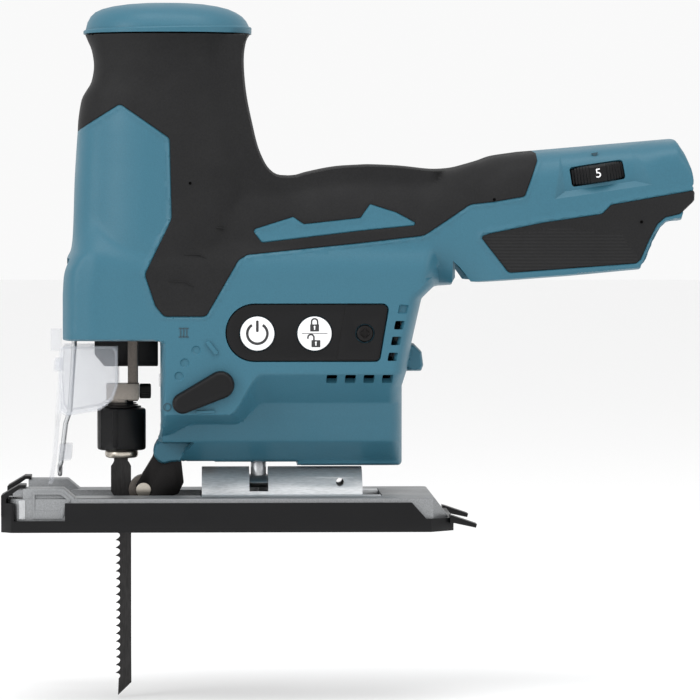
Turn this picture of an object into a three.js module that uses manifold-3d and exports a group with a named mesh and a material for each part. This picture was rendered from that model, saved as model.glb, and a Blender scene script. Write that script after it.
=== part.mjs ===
// A cordless barrel-grip jigsaw without its battery. Millimetres, +Z up, the blade end at -X.
// The origin is the middle of the sole; the tool's left side, with its control panel, faces -Y.

import * as THREE from "three";
import { mergeVertices } from "three/addons/utils/BufferGeometryUtils.js";
import Module from "manifold-3d";

const wasm = await Module();
wasm.setup();

// ---- driving dimensions ----
const gap = 0.3; // between pieces that touch
const splitGap = 0.15; // each clamshell's half of the joint line
const wall = 3; // clamshell wall
const gripSkin = 2.2; // rubber over the clamshell
const bodyHalfWidth = 33.5;
const barrelTop = 190.2; // joint between barrel and cap
const barrelFoot = 98;
const capHeight = 12.4;
const capFrontX = -55.2;
const capRearX = 9.1;
const capHalfWidth = 31.6;
const headFrontX = -64.6;
const bodyFrontX = -26;
const bodyRearX = 67.7;
const bevelAxisZ = 6; // the base tilts about this line
const archRadius = 17;
const lipClearance = 0.4;
const lipZ = bevelAxisZ + archRadius + lipClearance; // lowest edge of the housing
const tailEndX = 179;
const tailHalfWidth = 36;
const handleHalfWidth = 30;
const bayHalfWidth = 29; // battery bay under the tail
const bayRoofZ = 108;
const bayFrontX = 86;

const baseLength = 172.6;
const baseHalfWidth = 38.5;
const baseTopZ = 12.8;
const coverFloor = 2;
const coverWall = 2;
const coverTopZ = 11.2;
const bladeSlotHalfWidth = 7.2;
const archWall = 2.5;
const archFrontX = -10;
const archRearX = 52;
const clampBoltX = 12;
const clampBoltRadius = 3;

const motorZ = 84;
const statorRadius = 26;
const statorFrontX = 8;
const statorRearX = 48;
const rotorRadius = 13;
const fanRadius = 24;
const shaftRadius = 3;
const pinionBore = 2;
const rearBearingX = 61;
const bearingRadius = 8;
const bearingWidth = 6;
const gearModule = 1;
const pinionTeeth = 8;
const gearTeeth = 40;
const gearRearX = -12;
const gearFrontX = -20;
const crankRadius = 13;
const crankPinRadius = 3;

const plungerX = -36.6;
const plungerThickness = 3.9;
const plungerHalfWidth = 4.5;
const plungerBottomZ = 48.5;
const plungerTopZ = 137;
const stroke = 26;
const guidePivotZ = 150;
const guideRailY = 11;
const clampX = -41.05;
const sleeveRadius = 9.45;
const sleeveBottomZ = 29.5;
const sleeveTopZ = 45.8;
const bladeThickness = 1.3;
const bladeBackX = -37.4;
const bladeTipZ = -65.9;
const toothPitch = 3.04;
const rollerX = -32.5;
const rollerZ = 14.2;
const rollerRadius = 5.8;
const rollerHalfWidth = 3.5;
const armHalfWidth = 5.8;
const armPivotX = -23.7;
const armPivotZ = 29.4;
const nosePinRadius = 2;

const leverX = -2.8;
const leverZ = 56;
const leverReachX = -14.4; // from the lever's pin to the middle of its small end
const leverReachZ = -7;
const leverRadius = 5.3;
const leverTipRadius = 4;
const leverFaceY = -38;
const leverPinRadius = 3;
const leverPinEndY = -10.4;
const panelDepth = 2;
const buttonRadius = 6.6;
const powerX = 11.2;
const lockX = 33;
const buttonZ = 75.5;
const buttonTravelRoom = 5.6; // depth of a button's well from the body's side
const panelScrewX = 52.2;
const panelScrewRadius = 3.3;
const dialX = 141;
const dialZ = 136.4;
const dialRadius = 14.5;
const dialWidth = 7;
const dialTilt = (8.5 * Math.PI) / 180;

const motorAxisToGear = (gearModule * (pinionTeeth + gearTeeth)) / 2;
const gearZ = motorZ + motorAxisToGear;

// ---- solids from three.js geometry ----
function solidOf(geometry) {
  const bare = new THREE.BufferGeometry();
  const flat = geometry.index ? geometry.toNonIndexed() : geometry;
  bare.setAttribute("position", flat.getAttribute("position"));
  const merged = mergeVertices(bare, 1e-4);
  const mesh = new wasm.Mesh({
    numProp: 3,
    vertProperties: merged.attributes.position.array,
    triVerts: new Uint32Array(merged.index.array),
  });
  return new wasm.Manifold(mesh);
}

function geometryOf(solid) {
  const mesh = solid.getMesh();
  const geometry = new THREE.BufferGeometry();
  geometry.setAttribute("position", new THREE.BufferAttribute(mesh.vertProperties, 3));
  geometry.setIndex(new THREE.BufferAttribute(mesh.triVerts, 1));
  return geometry;
}

function unite(...solids) {
  return solids.reduce((all, next) => all.add(next));
}

function cut(body, ...tools) {
  return tools.reduce((left, tool) => left.subtract(tool), body);
}

function outline(points) {
  return new THREE.Shape(points.map(([a, b]) => new THREE.Vector2(a, b)));
}

// Extrusions: an (x, z) outline between two y, a (y, z) outline between two x, an (x, y) plan between two z.
function sideSlab(points, y0, y1) {
  const geometry = new THREE.ExtrudeGeometry(outline(points), { depth: y1 - y0, bevelEnabled: false });
  geometry.rotateX(Math.PI / 2).translate(0, y1, 0);
  return solidOf(geometry);
}

const frontTurn = new THREE.Matrix4().makeBasis(
  new THREE.Vector3(0, 1, 0),
  new THREE.Vector3(0, 0, 1),
  new THREE.Vector3(1, 0, 0),
);

function frontSlab(points, x0, x1) {
  const geometry = new THREE.ExtrudeGeometry(outline(points), { depth: x1 - x0, bevelEnabled: false });
  geometry.applyMatrix4(frontTurn).translate(x0, 0, 0);
  return solidOf(geometry);
}

function planSlab(points, z0, z1) {
  const geometry = new THREE.ExtrudeGeometry(outline(points), { depth: z1 - z0, bevelEnabled: false });
  return solidOf(geometry.translate(0, 0, z0));
}

function box(x0, x1, y0, y1, z0, z1) {
  const geometry = new THREE.BoxGeometry(x1 - x0, y1 - y0, z1 - z0);
  return solidOf(geometry.translate((x0 + x1) / 2, (y0 + y1) / 2, (z0 + z1) / 2));
}

// Turned pieces: a profile of (radius, height) pairs about an axis through (a, b).
function turned(profile, segments) {
  const points = profile.map(([r, h]) => new THREE.Vector2(r, h));
  return new THREE.LatheGeometry(points, segments);
}

function drum(r, h0, h1) {
  return [[0, h0], [r, h0], [r, h1], [0, h1]];
}

function turnX(profile, y, z, segments = 24) {
  const geometry = turned(profile, segments).rotateZ(-Math.PI / 2);
  return solidOf(geometry.translate(0, y, z));
}

function turnY(profile, x, z, segments = 24) {
  return solidOf(turned(profile, segments).translate(x, 0, z));
}

function turnZ(profile, x, y, segments = 24) {
  const geometry = turned(profile, segments).rotateX(Math.PI / 2);
  return solidOf(geometry.translate(x, y, 0));
}

// A polygon moved inwards by d, corner by corner. The polygon runs anticlockwise.
function inset(points, d) {
  const count = points.length;
  return points.map((point, i) => {
    const before = points[(i + count - 1) % count];
    const after = points[(i + 1) % count];
    const inLength = Math.hypot(point[0] - before[0], point[1] - before[1]);
    const outLength = Math.hypot(after[0] - point[0], after[1] - point[1]);
    const inNormal = [-(point[1] - before[1]) / inLength, (point[0] - before[0]) / inLength];
    const outNormal = [-(after[1] - point[1]) / outLength, (after[0] - point[0]) / outLength];
    const share = 1 + inNormal[0] * outNormal[0] + inNormal[1] * outNormal[1];
    const scale = d / Math.max(share, 0.4);
    return [
      point[0] + (inNormal[0] + outNormal[0]) * scale,
      point[1] + (inNormal[1] + outNormal[1]) * scale,
    ];
  });
}

// The slab of an outline with a band of width d taken off along every edge.
function thinned(points, d, slab) {
  const bands = points.map((point, i) => {
    const next = points[(i + 1) % points.length];
    const length = Math.hypot(next[0] - point[0], next[1] - point[1]);
    const along = [(next[0] - point[0]) / length, (next[1] - point[1]) / length];
    const inward = [-along[1], along[0]];
    const corner = (from, reach, depth) => [
      from[0] + along[0] * reach + inward[0] * depth,
      from[1] + along[1] * reach + inward[1] * depth,
    ];
    return slab([corner(point, -d, -1), corner(next, d, -1), corner(next, d, d), corner(point, -d, d)]);
  });
  return d > 0 ? cut(slab(points), ...bands) : slab(points);
}

// An arc of points about (a, b), ends included, angles in degrees.
function arc(a, b, r, from, to, steps) {
  return Array.from({ length: steps + 1 }, (_, i) => {
    const angle = ((from + ((to - from) * i) / steps) * Math.PI) / 180;
    return [a + r * Math.cos(angle), b + r * Math.sin(angle)];
  });
}

// A loft through oval sections: each has its place along the axis and its two extents across it.
// The unit ring of a lathe is stretched to each section; squareness 2 is an ellipse, higher is boxier.
function loft(sections, squareness, place) {
  const last = sections.length - 1;
  const rings = sections.map((_, i) => [1, i]);
  const geometry = turned([[0, 0], ...rings, [0, last]], 24);
  const position = geometry.getAttribute("position");
  const power = 2 / squareness;
  for (let i = 0; i < position.count; i++) {
    const u = position.getX(i);
    const v = position.getZ(i);
    const section = sections[Math.round(position.getY(i))];
    const across = Math.sign(u) * Math.abs(u) ** power;
    const over = Math.sign(v) * Math.abs(v) ** power;
    position.setXYZ(i, ...place(section, across, over));
  }
  return solidOf(geometry);
}

// ---- the object as a scene graph ----
const jigsaw = new THREE.Group();
const finishes = {
  teal: { color: 0x487e92, roughness: 0.5, metalness: 0 },
  rubber: { color: 0x343435, roughness: 0.75, metalness: 0 },
  black: { color: 0x2a2a2b, roughness: 0.5, metalness: 0 },
  steel: { color: 0x9a9a98, roughness: 0.35, metalness: 1 },
  darkSteel: { color: 0x4a4644, roughness: 0.45, metalness: 1 },
  castAluminium: { color: 0xa9abad, roughness: 0.5, metalness: 1 },
  copper: { color: 0xa8683c, roughness: 0.4, metalness: 1 },
  clear: { color: 0xe8eaf0, roughness: 0.1, metalness: 0, transparent: true, opacity: 0.4 },
  white: { color: 0xe6e6e6, roughness: 0.5, metalness: 0 },
};

function piece(name, finish, solid) {
  const mesh = new THREE.Mesh(geometryOf(solid), new THREE.MeshStandardMaterial(finishes[finish]));
  mesh.name = name;
  jigsaw.add(mesh);
}

// ---- the housing's outer form, and the same form d smaller all round ----
const barrelRise = barrelTop - barrelFoot;
const barrelSections = [
  // share of the barrel's height, front x, rear x, half-width
  [0, -62, 14, 31],
  [0.3, -60, 13, 32],
  [0.6, -58, 10.4, 31.5],
  [0.73, -56.3, 7.8, 30.5],
  [0.8, -53, 7, 29.5],
  [0.91, -52, 6.5, 29],
  [0.96, -53.5, 7.5, 30],
  [1, -55, 8.8, 31.5],
];

function barrel(d) {
  const sections = barrelSections.map(([share, front, rear, half]) => [
    barrelFoot + share * barrelRise,
    (front + rear) / 2,
    (rear - front) / 2 - d,
    half - d,
  ]);
  return loft(sections, 2.4, ([z, centre, long, half], across, over) => [
    centre + across * long,
    -over * half,
    z,
  ]);
}

const handleSections = [
  // x, underside z, top z, half-width
  [-5, 84, 137, 27],
  [26.7, 84, 136.2, handleHalfWidth],
  [56, 86, 140.2, handleHalfWidth],
  [81.7, 88, 138.5, handleHalfWidth],
  [100, 88, 143, 33],
];

function handle(d) {
  const end = handleSections.length - 1;
  const sections = handleSections.map(([x, low, high, half], i) => [
    x + (i === 0 ? d : 0) + (i === end ? d : 0),
    (low + high) / 2,
    (high - low) / 2 - d,
    half - d,
  ]);
  return loft(sections, 2.6, ([x, centre, tall, half], across, over) => [
    x,
    over * half,
    centre + across * tall,
  ]);
}

const bodyOutline = [
  [bodyFrontX, 37],
  [armPivotX - 5.4, 31],
  [armPivotX - 3.5, 25.3],
  [-19, lipZ + 1.4],
  [27, lipZ + 1.4],
  [27.5, lipZ],
  [bodyRearX, lipZ],
  [bodyRearX, 54.5],
  [69.2, 60],
  [75, 88.5],
  [80, 93],
  [80, 112],
  [headFrontX + 3, 112],
  [headFrontX, 98],
  [headFrontX, 73],
  [headFrontX + 1.6, 72],
  [bodyFrontX - 2, 72],
  [bodyFrontX, 69.5],
];

const bodyProfileHalf = [
  [7.5, lipZ - 1],
  [7.5, lipZ + 1.9],
  [17, 33.5],
  [20, 41],
  [bodyHalfWidth - 3, 46],
  [bodyHalfWidth, 60],
  [bodyHalfWidth, 100],
  [bodyHalfWidth - 3, 114],
];

const bodyPlan = [
  [headFrontX, -23],
  [headFrontX + 3, -28.5],
  [headFrontX + 10, -32.3],
  [headFrontX + 22, -bodyHalfWidth],
  [bodyRearX + 2, -bodyHalfWidth],
  [bodyRearX + 9, -bodyHalfWidth + 4],
  [bodyRearX + 13, -bodyHalfWidth + 10],
  [bodyRearX + 13, bodyHalfWidth - 10],
  [bodyRearX + 9, bodyHalfWidth - 4],
  [bodyRearX + 2, bodyHalfWidth],
  [headFrontX + 22, bodyHalfWidth],
  [headFrontX + 10, 32.3],
  [headFrontX + 3, 28.5],
  [headFrontX, 23],
];

function body(d) {
  const left = bodyProfileHalf.map(([y, z]) => [-y, z]).reverse();
  const profile = [...bodyProfileHalf, ...left];
  const rounded = thinned(profile, d, (points) => frontSlab(points, headFrontX - 1, tailEndX));
  const side = thinned(bodyOutline, d, (points) => sideSlab(points, -bodyHalfWidth, bodyHalfWidth));
  const plan = thinned(bodyPlan, d, (points) => planSlab(points, lipZ - 1, gearZ + 10));
  return side.intersect(rounded).intersect(plan);
}

const tailOutline = [
  [96, 94],
  [110, 95.3],
  [130, 96.8],
  [158, 99.8],
  [163, 112.5],
  [167, 117],
  [173, 120.8],
  [tailEndX, 126],
  [tailEndX, 130],
  [tailEndX - 1, 138],
  [tailEndX - 4, 145],
  [tailEndX - 7.3, 150],
  [117, 145.3],
  [96, 141.5],
];

const tailProfileHalf = [
  [tailHalfWidth - 2, 90],
  [tailHalfWidth, 96],
  [tailHalfWidth, 134],
  [tailHalfWidth - 5, 144],
  [tailHalfWidth - 12, 152],
];

function tail(d) {
  const left = tailProfileHalf.map(([y, z]) => [-y, z]).reverse();
  const profile = [...tailProfileHalf, ...left];
  const rounded = thinned(profile, d, (points) => frontSlab(points, bayFrontX, tailEndX + 1));
  const side = thinned(tailOutline, d, (points) => sideSlab(points, -tailHalfWidth, tailHalfWidth));
  return side.intersect(rounded);
}

const underHandle = [
  [70, 92],
  [84, 93.5],
  [100, 94.6],
  [112, 96],
  [112, 140],
  [70, 130],
];

function underside(d) {
  const half = handleHalfWidth + 2 - d;
  return thinned(underHandle, d, (points) => sideSlab(points, -half, half));
}

function form(d) {
  return unite(barrel(d), handle(d), body(d), tail(d), underside(d));
}

// ---- places that other pieces share ----
const gripPatch = [
  // the rubber's boundary on the side, anticlockwise from the front of the barrel
  [-62, 152.8],
  [-57.5, 152.8],
  [-41, 163],
  [-22, 149.8],
  [-21.3, 119],
  [-31.5, 98],
  [-27.5, 86],
  [-24, 82],
  [-8.5, 82],
  [4, 103],
  [7, 105.5],
  [75, 112.8],
  [85, 119.5],
  [93, 124.5],
  [113, 127.7],
  [118, 141],
  [116, 150],
  [14, 150],
  [16, barrelTop + 1],
  [-62, barrelTop + 1],
];

const padPatch = [
  [96.5, 112.5],
  [107, 98.3],
  [155.5, 102.2],
  [163.5, 117],
  [170, 120.8],
  [tailEndX + 1, 126],
  [tailEndX + 1, 130],
  [150, 125.2],
  [142.5, 121],
];

const panelPatch = [
  [7, 65],
  [57, 65],
  [60, 85.5],
  [5, 86.5],
  [-1, 75.5],
  [1.5, 68.5],
];

const screwPlaces = [
  [-50, 106],
  [-42, 174],
  [-4, 174],
  [74, 128],
  [106, 132],
  [62, 34],
  [0, 33],
];
const screwRadius = 2;
const screwHeadRadius = 3.6;
const screwHeadHeight = 3;
const screwReach = ([x, z]) => (z < 40 ? 12 : 24); // y of the head's outer face
const bossRadius = 4.4;

const cavityHalfWidth = 20; // open front chamber for clamp, guard and chip cover
const cavityTopZ = 108;
const cavityRearX = -26;
const sliderCut = box(headFrontX - 5, cavityRearX, -cavityHalfWidth, cavityHalfWidth, 60, cavityTopZ);
const armSlot = box(-35, -6, -armHalfWidth - 0.5, armHalfWidth + 0.5, 15, 42);
const boltRoom = turnZ(drum(clampBoltRadius + gap, 0, 42), clampBoltX, 0, 16);
const lampRoom = box(bodyFrontX - 5, bodyFrontX + 5, -5 - gap, 5 + gap, 54 - gap, 59 + gap);
const bay = box(bayFrontX, tailEndX + 5, -bayHalfWidth, bayHalfWidth, 80, bayRoofZ);

// ---- clamshells, left and right, with the rubber that is moulded over them ----
function clamshells() {
  const outer = form(0);
  const underGrip = form(gripSkin + gap);
  const hollow = form(wall + gripSkin);
  const bodyHollow = body(wall);
  const gripPrism = sideSlab(gripPatch, -60, 60);
  const shell = cut(outer, hollow, bodyHollow, sliderCut, armSlot);
  const backing = cut(underGrip.intersect(gripPrism), hollow);
  const roofHalf = tailHalfWidth - 1;
  const roof = box(bayFrontX - wall, tailEndX - 8, -roofHalf, roofHalf, bayRoofZ - 10, bayRoofZ + wall);
  const bayRoof = roof.intersect(form(1));
  const padBed = sideSlab(padPatch, -60, 60);
  const padInner = form(gripSkin + gap);
  for (const [side, sign] of [["left", -1], ["right", 1]]) {
    const near = Math.min(sign * splitGap, sign * 60);
    const far = Math.max(sign * splitGap, sign * 60);
    const half = box(-100, 220, near, far, 0, 240);
    let bosses = null;
    for (const [x, z] of screwPlaces) {
      const boss = turnY(drum(bossRadius, near, far), x, z, 16);
      bosses = bosses ? bosses.add(boss) : boss;
    }
    const bossed = bosses.intersect(underGrip);
    const teal = unite(cut(shell, gripPrism), backing, bayRoof, bossed);
    const padless = cut(teal, cut(padBed, padInner), bay, sliderCut, armSlot, boltRoom, lampRoom);
    let part = padless.intersect(half);
    for (const [x, z] of screwPlaces) {
      part = cut(part, turnY(drum(screwRadius + gap, -60, 60), x, z, 12));
      if (sign > 0) {
        const seat = screwReach([x, z]) - screwHeadHeight - gap;
        part = cut(part, turnY(drum(screwHeadRadius + gap, seat, 60), x, z, 16));
      }
    }
    if (sign < 0) {
      const panelRoom = sideSlab(panelPatch, -60, -bodyHalfWidth + panelDepth);
      const well = drum(buttonRadius + gap, -60, -bodyHalfWidth + buttonTravelRoom);
      const buttonRoom = unite(turnY(well, powerX, buttonZ), turnY(well, lockX, buttonZ));
      const dialRoom = dialSolid(dialRadius + 0.8, dialWidth + 1.6);
      const leverRoom = turnY(drum(leverPinRadius + gap, -60, leverPinEndY + 0.4), leverX, leverZ, 16);
      part = cut(part, panelRoom, buttonRoom, dialRoom, leverRoom);
    }
    piece("housing_" + side, "teal", largest(part));
    const skin = cut(outer, form(gripSkin)).intersect(half);
    const grip = skin.intersect(sideSlab(inset(gripPatch, gap), -60, 60));
    const driverRooms = screwPlaces.map(([x, z]) => turnY(drum(screwHeadRadius + gap, 5, 60), x, z, 16));
    piece("grip_" + side, "rubber", largest(sign > 0 ? cut(grip, ...driverRooms) : grip));
    const pad = skin.intersect(sideSlab(inset(padPatch, gap), -60, 60));
    const betweenPads = box(80, 220, -bayHalfWidth - 1, bayHalfWidth + 1, 80, 240);
    piece("battery_pad_" + side, "rubber", largest(cut(pad, betweenPads)));
  }
}

// The biggest of the separate bodies that a cut leaves, with its finest slivers smoothed away.
function largest(solid) {
  const clean = solidOf(geometryOf(solid.simplify(0.06)));
  return clean.decompose().reduce((a, b) => (b.volume() > a.volume() ? b : a));
}

function topCap() {
  const steps = [
    // share of the cap's height, how far the section is in from the rim
    [0, 0],
    [0.13, -0.3],
    [0.16, 0.9],
    [0.65, 3.2],
    [0.84, 7],
    [0.95, 15],
    [1, 24],
  ];
  const sections = steps.map(([share, inwards]) => [
    barrelTop + gap + share * (capHeight - gap),
    (capFrontX + capRearX) / 2,
    (capRearX - capFrontX) / 2 - inwards,
    capHalfWidth - inwards,
  ]);
  const dome = loft(sections, 2.3, ([z, centre, long, half], across, over) => [
    centre + across * long,
    -over * half,
    z,
  ]);
  const core = turnZ(drum(20, barrelTop - 8, barrelTop + 6), -23, 0);
  piece("top_cap", "teal", cut(dome, core));
}

function housingScrews() {
  screwPlaces.forEach(([x, z], i) => {
    const reach = screwReach([x, z]);
    const head = drum(screwHeadRadius, reach - screwHeadHeight, reach);
    const shank = turnY(drum(screwRadius, -reach + 8, reach - 2), x, z, 10);
    piece("housing_screw_" + (i + 1), "darkSteel", unite(turnY(head, x, z, 14), shank));
  });
}

// ---- controls ----
function controls() {
  const face = -bodyHalfWidth;
  const back = face + panelDepth - gap;
  const plate = sideSlab(inset(panelPatch, gap), face - 0.2, back);
  const rooms = [powerX, lockX].map((x) => turnY(drum(buttonRadius + 0.4, -60, 0), x, buttonZ));
  const screwRoom = turnY(drum(panelScrewRadius + 0.5, -60, 0), panelScrewX, buttonZ);
  piece("switch_panel", "black", cut(plate, ...rooms, screwRoom));
  for (const [name, x] of [["power_button", powerX], ["lock_button", lockX]]) {
    piece(name, "white", turnY(drum(buttonRadius, face - 0.3, face + 4.4), x, buttonZ));
  }
  const panelScrew = turnY(drum(panelScrewRadius, face - 0.1, back), panelScrewX, buttonZ);
  piece("panel_screw", "darkSteel", panelScrew);

  const tipX = leverX + leverReachX;
  const tipZ = leverZ + leverReachZ;
  const bigEnd = turnY(drum(leverRadius, leverFaceY, face - gap), leverX, leverZ);
  const smallEnd = turnY(drum(leverTipRadius, leverFaceY + 0.6, face - gap), tipX, tipZ, 20);
  const webOutline = [
    [leverX + 1.5, leverZ - 4.6],
    [leverX - 2, leverZ + 4.6],
    [tipX - 1.5, tipZ + 3.4],
    [tipX + 1.6, tipZ - 3.5],
  ];
  const web = sideSlab(webOutline, leverFaceY + 0.8, face - gap);
  const shaft = turnY(drum(leverPinRadius, face - 0.4, leverPinEndY), leverX, leverZ);
  const cam = box(leverX - 2.5, leverX + 0.5, -12, -10.2, leverZ - 2, leverZ + 2);
  piece("orbital_lever", "black", unite(bigEnd, smallEnd, web, shaft, cam));
  piece("speed_dial", "black", dialSolid(dialRadius, dialWidth));
}

function dialSolid(radius, width) {
  const disc = turned(drum(radius, -width / 2, width / 2), 32).rotateX(Math.PI / 2);
  disc.rotateY(-dialTilt).translate(dialX, -tailHalfWidth - 0.4 + dialRadius, dialZ);
  return solidOf(disc);
}

// ---- motor and crank drive ----
// A spur gear of plain trapezoid teeth, thin enough at the pitch circle to run with backlash.
function gearOutline(teeth, phase) {
  const pitchRadius = (gearModule * teeth) / 2;
  const root = pitchRadius - 0.85 * gearModule;
  const tip = pitchRadius + 0.6 * gearModule;
  const points = [];
  for (let i = 0; i < teeth; i++) {
    const middle = ((i + phase) * 2 * Math.PI) / teeth;
    const rootHalf = (0.62 * gearModule) / root;
    const tipHalf = (0.26 * gearModule) / tip;
    for (const [r, turn] of [[root, -rootHalf], [tip, -tipHalf], [tip, tipHalf], [root, rootHalf]]) {
      points.push([r * Math.cos(middle + turn), r * Math.sin(middle + turn)]);
    }
  }
  return points;
}

function spurGear(teeth, phase, z, x0, x1) {
  const points = gearOutline(teeth, phase).map(([y, height]) => [y, z + height]);
  return frontSlab(points, x0, x1);
}

function ballBearing(x0, z, bore) {
  const x1 = x0 + bearingWidth;
  const ring = [[bore, x0], [bearingRadius, x0], [bearingRadius, x1], [bore, x1], [bore, x0]];
  return turnX(ring, 0, z, 24);
}

const gearCaseFrontX = -10.5;
const gearCaseRearX = -2.5;

function drive() {
  const tube = [
    [rotorRadius + 0.8, statorFrontX],
    [statorRadius, statorFrontX],
    [statorRadius, statorRearX],
    [rotorRadius + 0.8, statorRearX],
    [rotorRadius + 0.8, statorFrontX],
  ];
  piece("motor_stator", "copper", turnX(tube, 0, motorZ, 32));
  const rotor = unite(
    turnX(drum(rotorRadius, statorFrontX + 2, statorRearX - 2), 0, motorZ, 24),
    turnX(drum(shaftRadius, gearRearX + gap, rearBearingX + bearingWidth), 0, motorZ, 12),
    turnX(drum(pinionBore, gearFrontX - 1, gearRearX + 1), 0, motorZ, 12),
  );
  piece("rotor", "steel", rotor);
  const fanFrontX = statorRearX + 3;
  const fanHub = [[shaftRadius + gap, fanFrontX], [fanRadius, fanFrontX], [fanRadius, fanFrontX + 1.5]];
  fanHub.push([9, fanFrontX + 1.5], [7, fanFrontX + 8], [shaftRadius + gap, fanFrontX + 8], fanHub[0]);
  const blades = Array.from({ length: 8 }, (_, i) => {
    const blade = new THREE.BoxGeometry(7, 1.4, fanRadius - 9);
    blade.translate(0, 0, (fanRadius + 7) / 2).rotateX((i * Math.PI) / 4);
    return solidOf(blade.translate(fanFrontX + 4.3, 0, motorZ));
  });
  piece("fan", "black", unite(turnX(fanHub, 0, motorZ, 24), ...blades));
  const pinion = spurGear(pinionTeeth, 0, motorZ, gearFrontX, gearRearX);
  const pinionRoom = turnX(drum(pinionBore + 0.1, gearFrontX - 5, gearRearX + 5), 0, motorZ, 12);
  piece("pinion", "steel", cut(pinion, pinionRoom));
  piece("front_bearing", "steel", ballBearing(gearCaseFrontX + 0.6, motorZ, shaftRadius + gap));
  piece("rear_bearing", "steel", ballBearing(rearBearingX, motorZ, shaftRadius + gap));
  piece("gear_bearing", "steel", ballBearing(gearCaseFrontX + 0.6, gearZ, shaftRadius + 1 + gap));

  const casePlate = frontSlab(
    [
      [-23, motorZ - 14],
      [23, motorZ - 14],
      [23, gearZ - 6],
      [14, gearZ + 11],
      [-14, gearZ + 11],
      [-23, gearZ - 6],
    ],
    gearCaseFrontX,
    gearCaseRearX,
  );
  const seat = bearingRadius + gap;
  piece(
    "gear_case",
    "castAluminium",
    cut(casePlate, turnX(drum(seat, -20, 10), 0, motorZ), turnX(drum(seat, -20, 10), 0, gearZ)),
  );

  const wheel = spurGear(gearTeeth, 0.5, gearZ, gearFrontX, gearRearX);
  const gearShaft = turnX(drum(shaftRadius + 1, gearFrontX, gearCaseRearX + 1), 0, gearZ, 16);
  const pinRoom = turnX(drum(crankPinRadius + gap, -30, gearFrontX + 5), 0, gearZ - crankRadius, 12);
  piece("crank_gear", "steel", cut(unite(wheel, gearShaft), pinRoom));
  const yokeRearX = plungerX + plungerThickness / 2 + 5;
  piece(
    "crank_pin",
    "steel",
    turnX(drum(crankPinRadius, yokeRearX + 0.6, gearFrontX + 5 - gap), 0, gearZ - crankRadius, 12),
  );
  const half = arc(0, gearZ, 17, 0, 180, 12);
  piece("counterweight", "steel", frontSlab(half, gearFrontX - 5, gearFrontX - gap));
}

// ---- plunger, its swinging guide, and the blade clamp ----
function plunger() {
  const front = plungerX - plungerThickness / 2;
  const rear = plungerX + plungerThickness / 2;
  const rod = box(front, rear, -plungerHalfWidth, plungerHalfWidth, plungerBottomZ, plungerTopZ);
  const slotHalf = crankRadius + crankPinRadius + 0.6;
  const pinZ = gearZ - crankRadius;
  const yokeHeight = crankPinRadius + 3.6;
  const yoke = cut(
    box(rear + 1, rear + 5, -slotHalf - 2, slotHalf + 2, pinZ - yokeHeight, pinZ + yokeHeight),
    box(rear + 2, rear + 6, -slotHalf, slotHalf, pinZ - crankPinRadius - 0.4, pinZ + crankPinRadius + 0.4),
  );
  const neck = box(front, rear + 1.5, -plungerHalfWidth, plungerHalfWidth, pinZ - 4.5, pinZ + 4.5);
  piece("plunger_rod", "darkSteel", unite(rod, neck, yoke));

  const clampTopZ = 55.3;
  const bushes = [[clampTopZ + stroke + 0.7, pinZ - yokeHeight - 0.6], [plungerTopZ - 10, plungerTopZ - 3]];
  const rodRoom = box(front - 0.1, rear + 0.1, -plungerHalfWidth - 0.1, plungerHalfWidth + 0.1, 0, 200);
  const guideFront = front - 2;
  const guideRear = rear + 0.6;
  const rails = [-1, 1].map((sign) => {
    const inner = sign * (guideRailY - 2);
    const outer = sign * guideRailY;
    const foot = bushes[0][0];
    return box(guideFront, guideRear, Math.min(inner, outer), Math.max(inner, outer), foot, guidePivotZ + 4);
  });
  const bridges = bushes.map(([low, high]) =>
    box(guideFront, guideRear, -guideRailY, guideRailY, low, high));
  const pins = [-1, 1].map((sign) => {
    const inner = sign * (guideRailY - 1);
    const outer = sign * (guideRailY + 5);
    return turnY(drum(2, Math.min(inner, outer), Math.max(inner, outer)), plungerX, guidePivotZ, 12);
  });
  piece("plunger_guide", "steel", cut(unite(...rails, ...bridges, ...pins), rodRoom));
  for (const [side, sign] of [["left", -1], ["right", 1]]) {
    const inner = sign * (guideRailY + 1);
    const outer = sign * (guideRailY + 8);
    const low = Math.min(inner, outer);
    const high = Math.max(inner, outer);
    const block = box(plungerX - 5, plungerX + 5, low, high, guidePivotZ - 5, guidePivotZ + 5);
    const pivotRoom = turnY(drum(2.3, low - 1, high + 1), plungerX, guidePivotZ, 16);
    piece("guide_bracket_" + side, "castAluminium", cut(block, pivotRoom));
  }

  const blockFront = clampX - 5.8;
  const block = box(blockFront, rear + 0.4, -5.5, 5.5, 49.1, clampTopZ);
  const seatHalf = plungerHalfWidth + gap;
  const rodSeat = box(front - gap, rear + 1, -seatHalf, seatHalf, 40, 70);
  const stem = turnZ(drum(5, 46.6, 50), clampX, 0);
  const shankHalf = bladeThickness / 2 + gap;
  const shankRoom = box(clampX - 4, clampX + 3.5, -shankHalf, shankHalf, 40, 50);
  piece("clamp_block", "castAluminium", cut(unite(block, stem), rodSeat, shankRoom));
  piece("clamp_screw", "darkSteel", turnX(drum(3, rear + 0.7, rear + 5.2), 0, 52.3, 16));
  const bore = 5.4;
  const sleeve = [[bore, sleeveBottomZ], [sleeveRadius, sleeveBottomZ], [sleeveRadius, sleeveTopZ]];
  sleeve.push([bore, sleeveTopZ], sleeve[0]);
  const ribY = -sleeveRadius;
  const rib = box(clampX - 2.6, clampX + 1.5, ribY - 1.4, ribY + 1.5, sleeveBottomZ + 0.4, sleeveTopZ - 0.6);
  piece("clamp_sleeve", "black", unite(turnZ(sleeve, clampX, 0, 28), rib));
  const ring = [[4.6, 26.4], [5.6, 26.4], [6.5, 27.4], [6.5, 29.2], [4.6, 29.2], [4.6, 26.4]];
  piece("clamp_ring", "steel", turnZ(ring, clampX, 0, 24));
}

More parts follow.
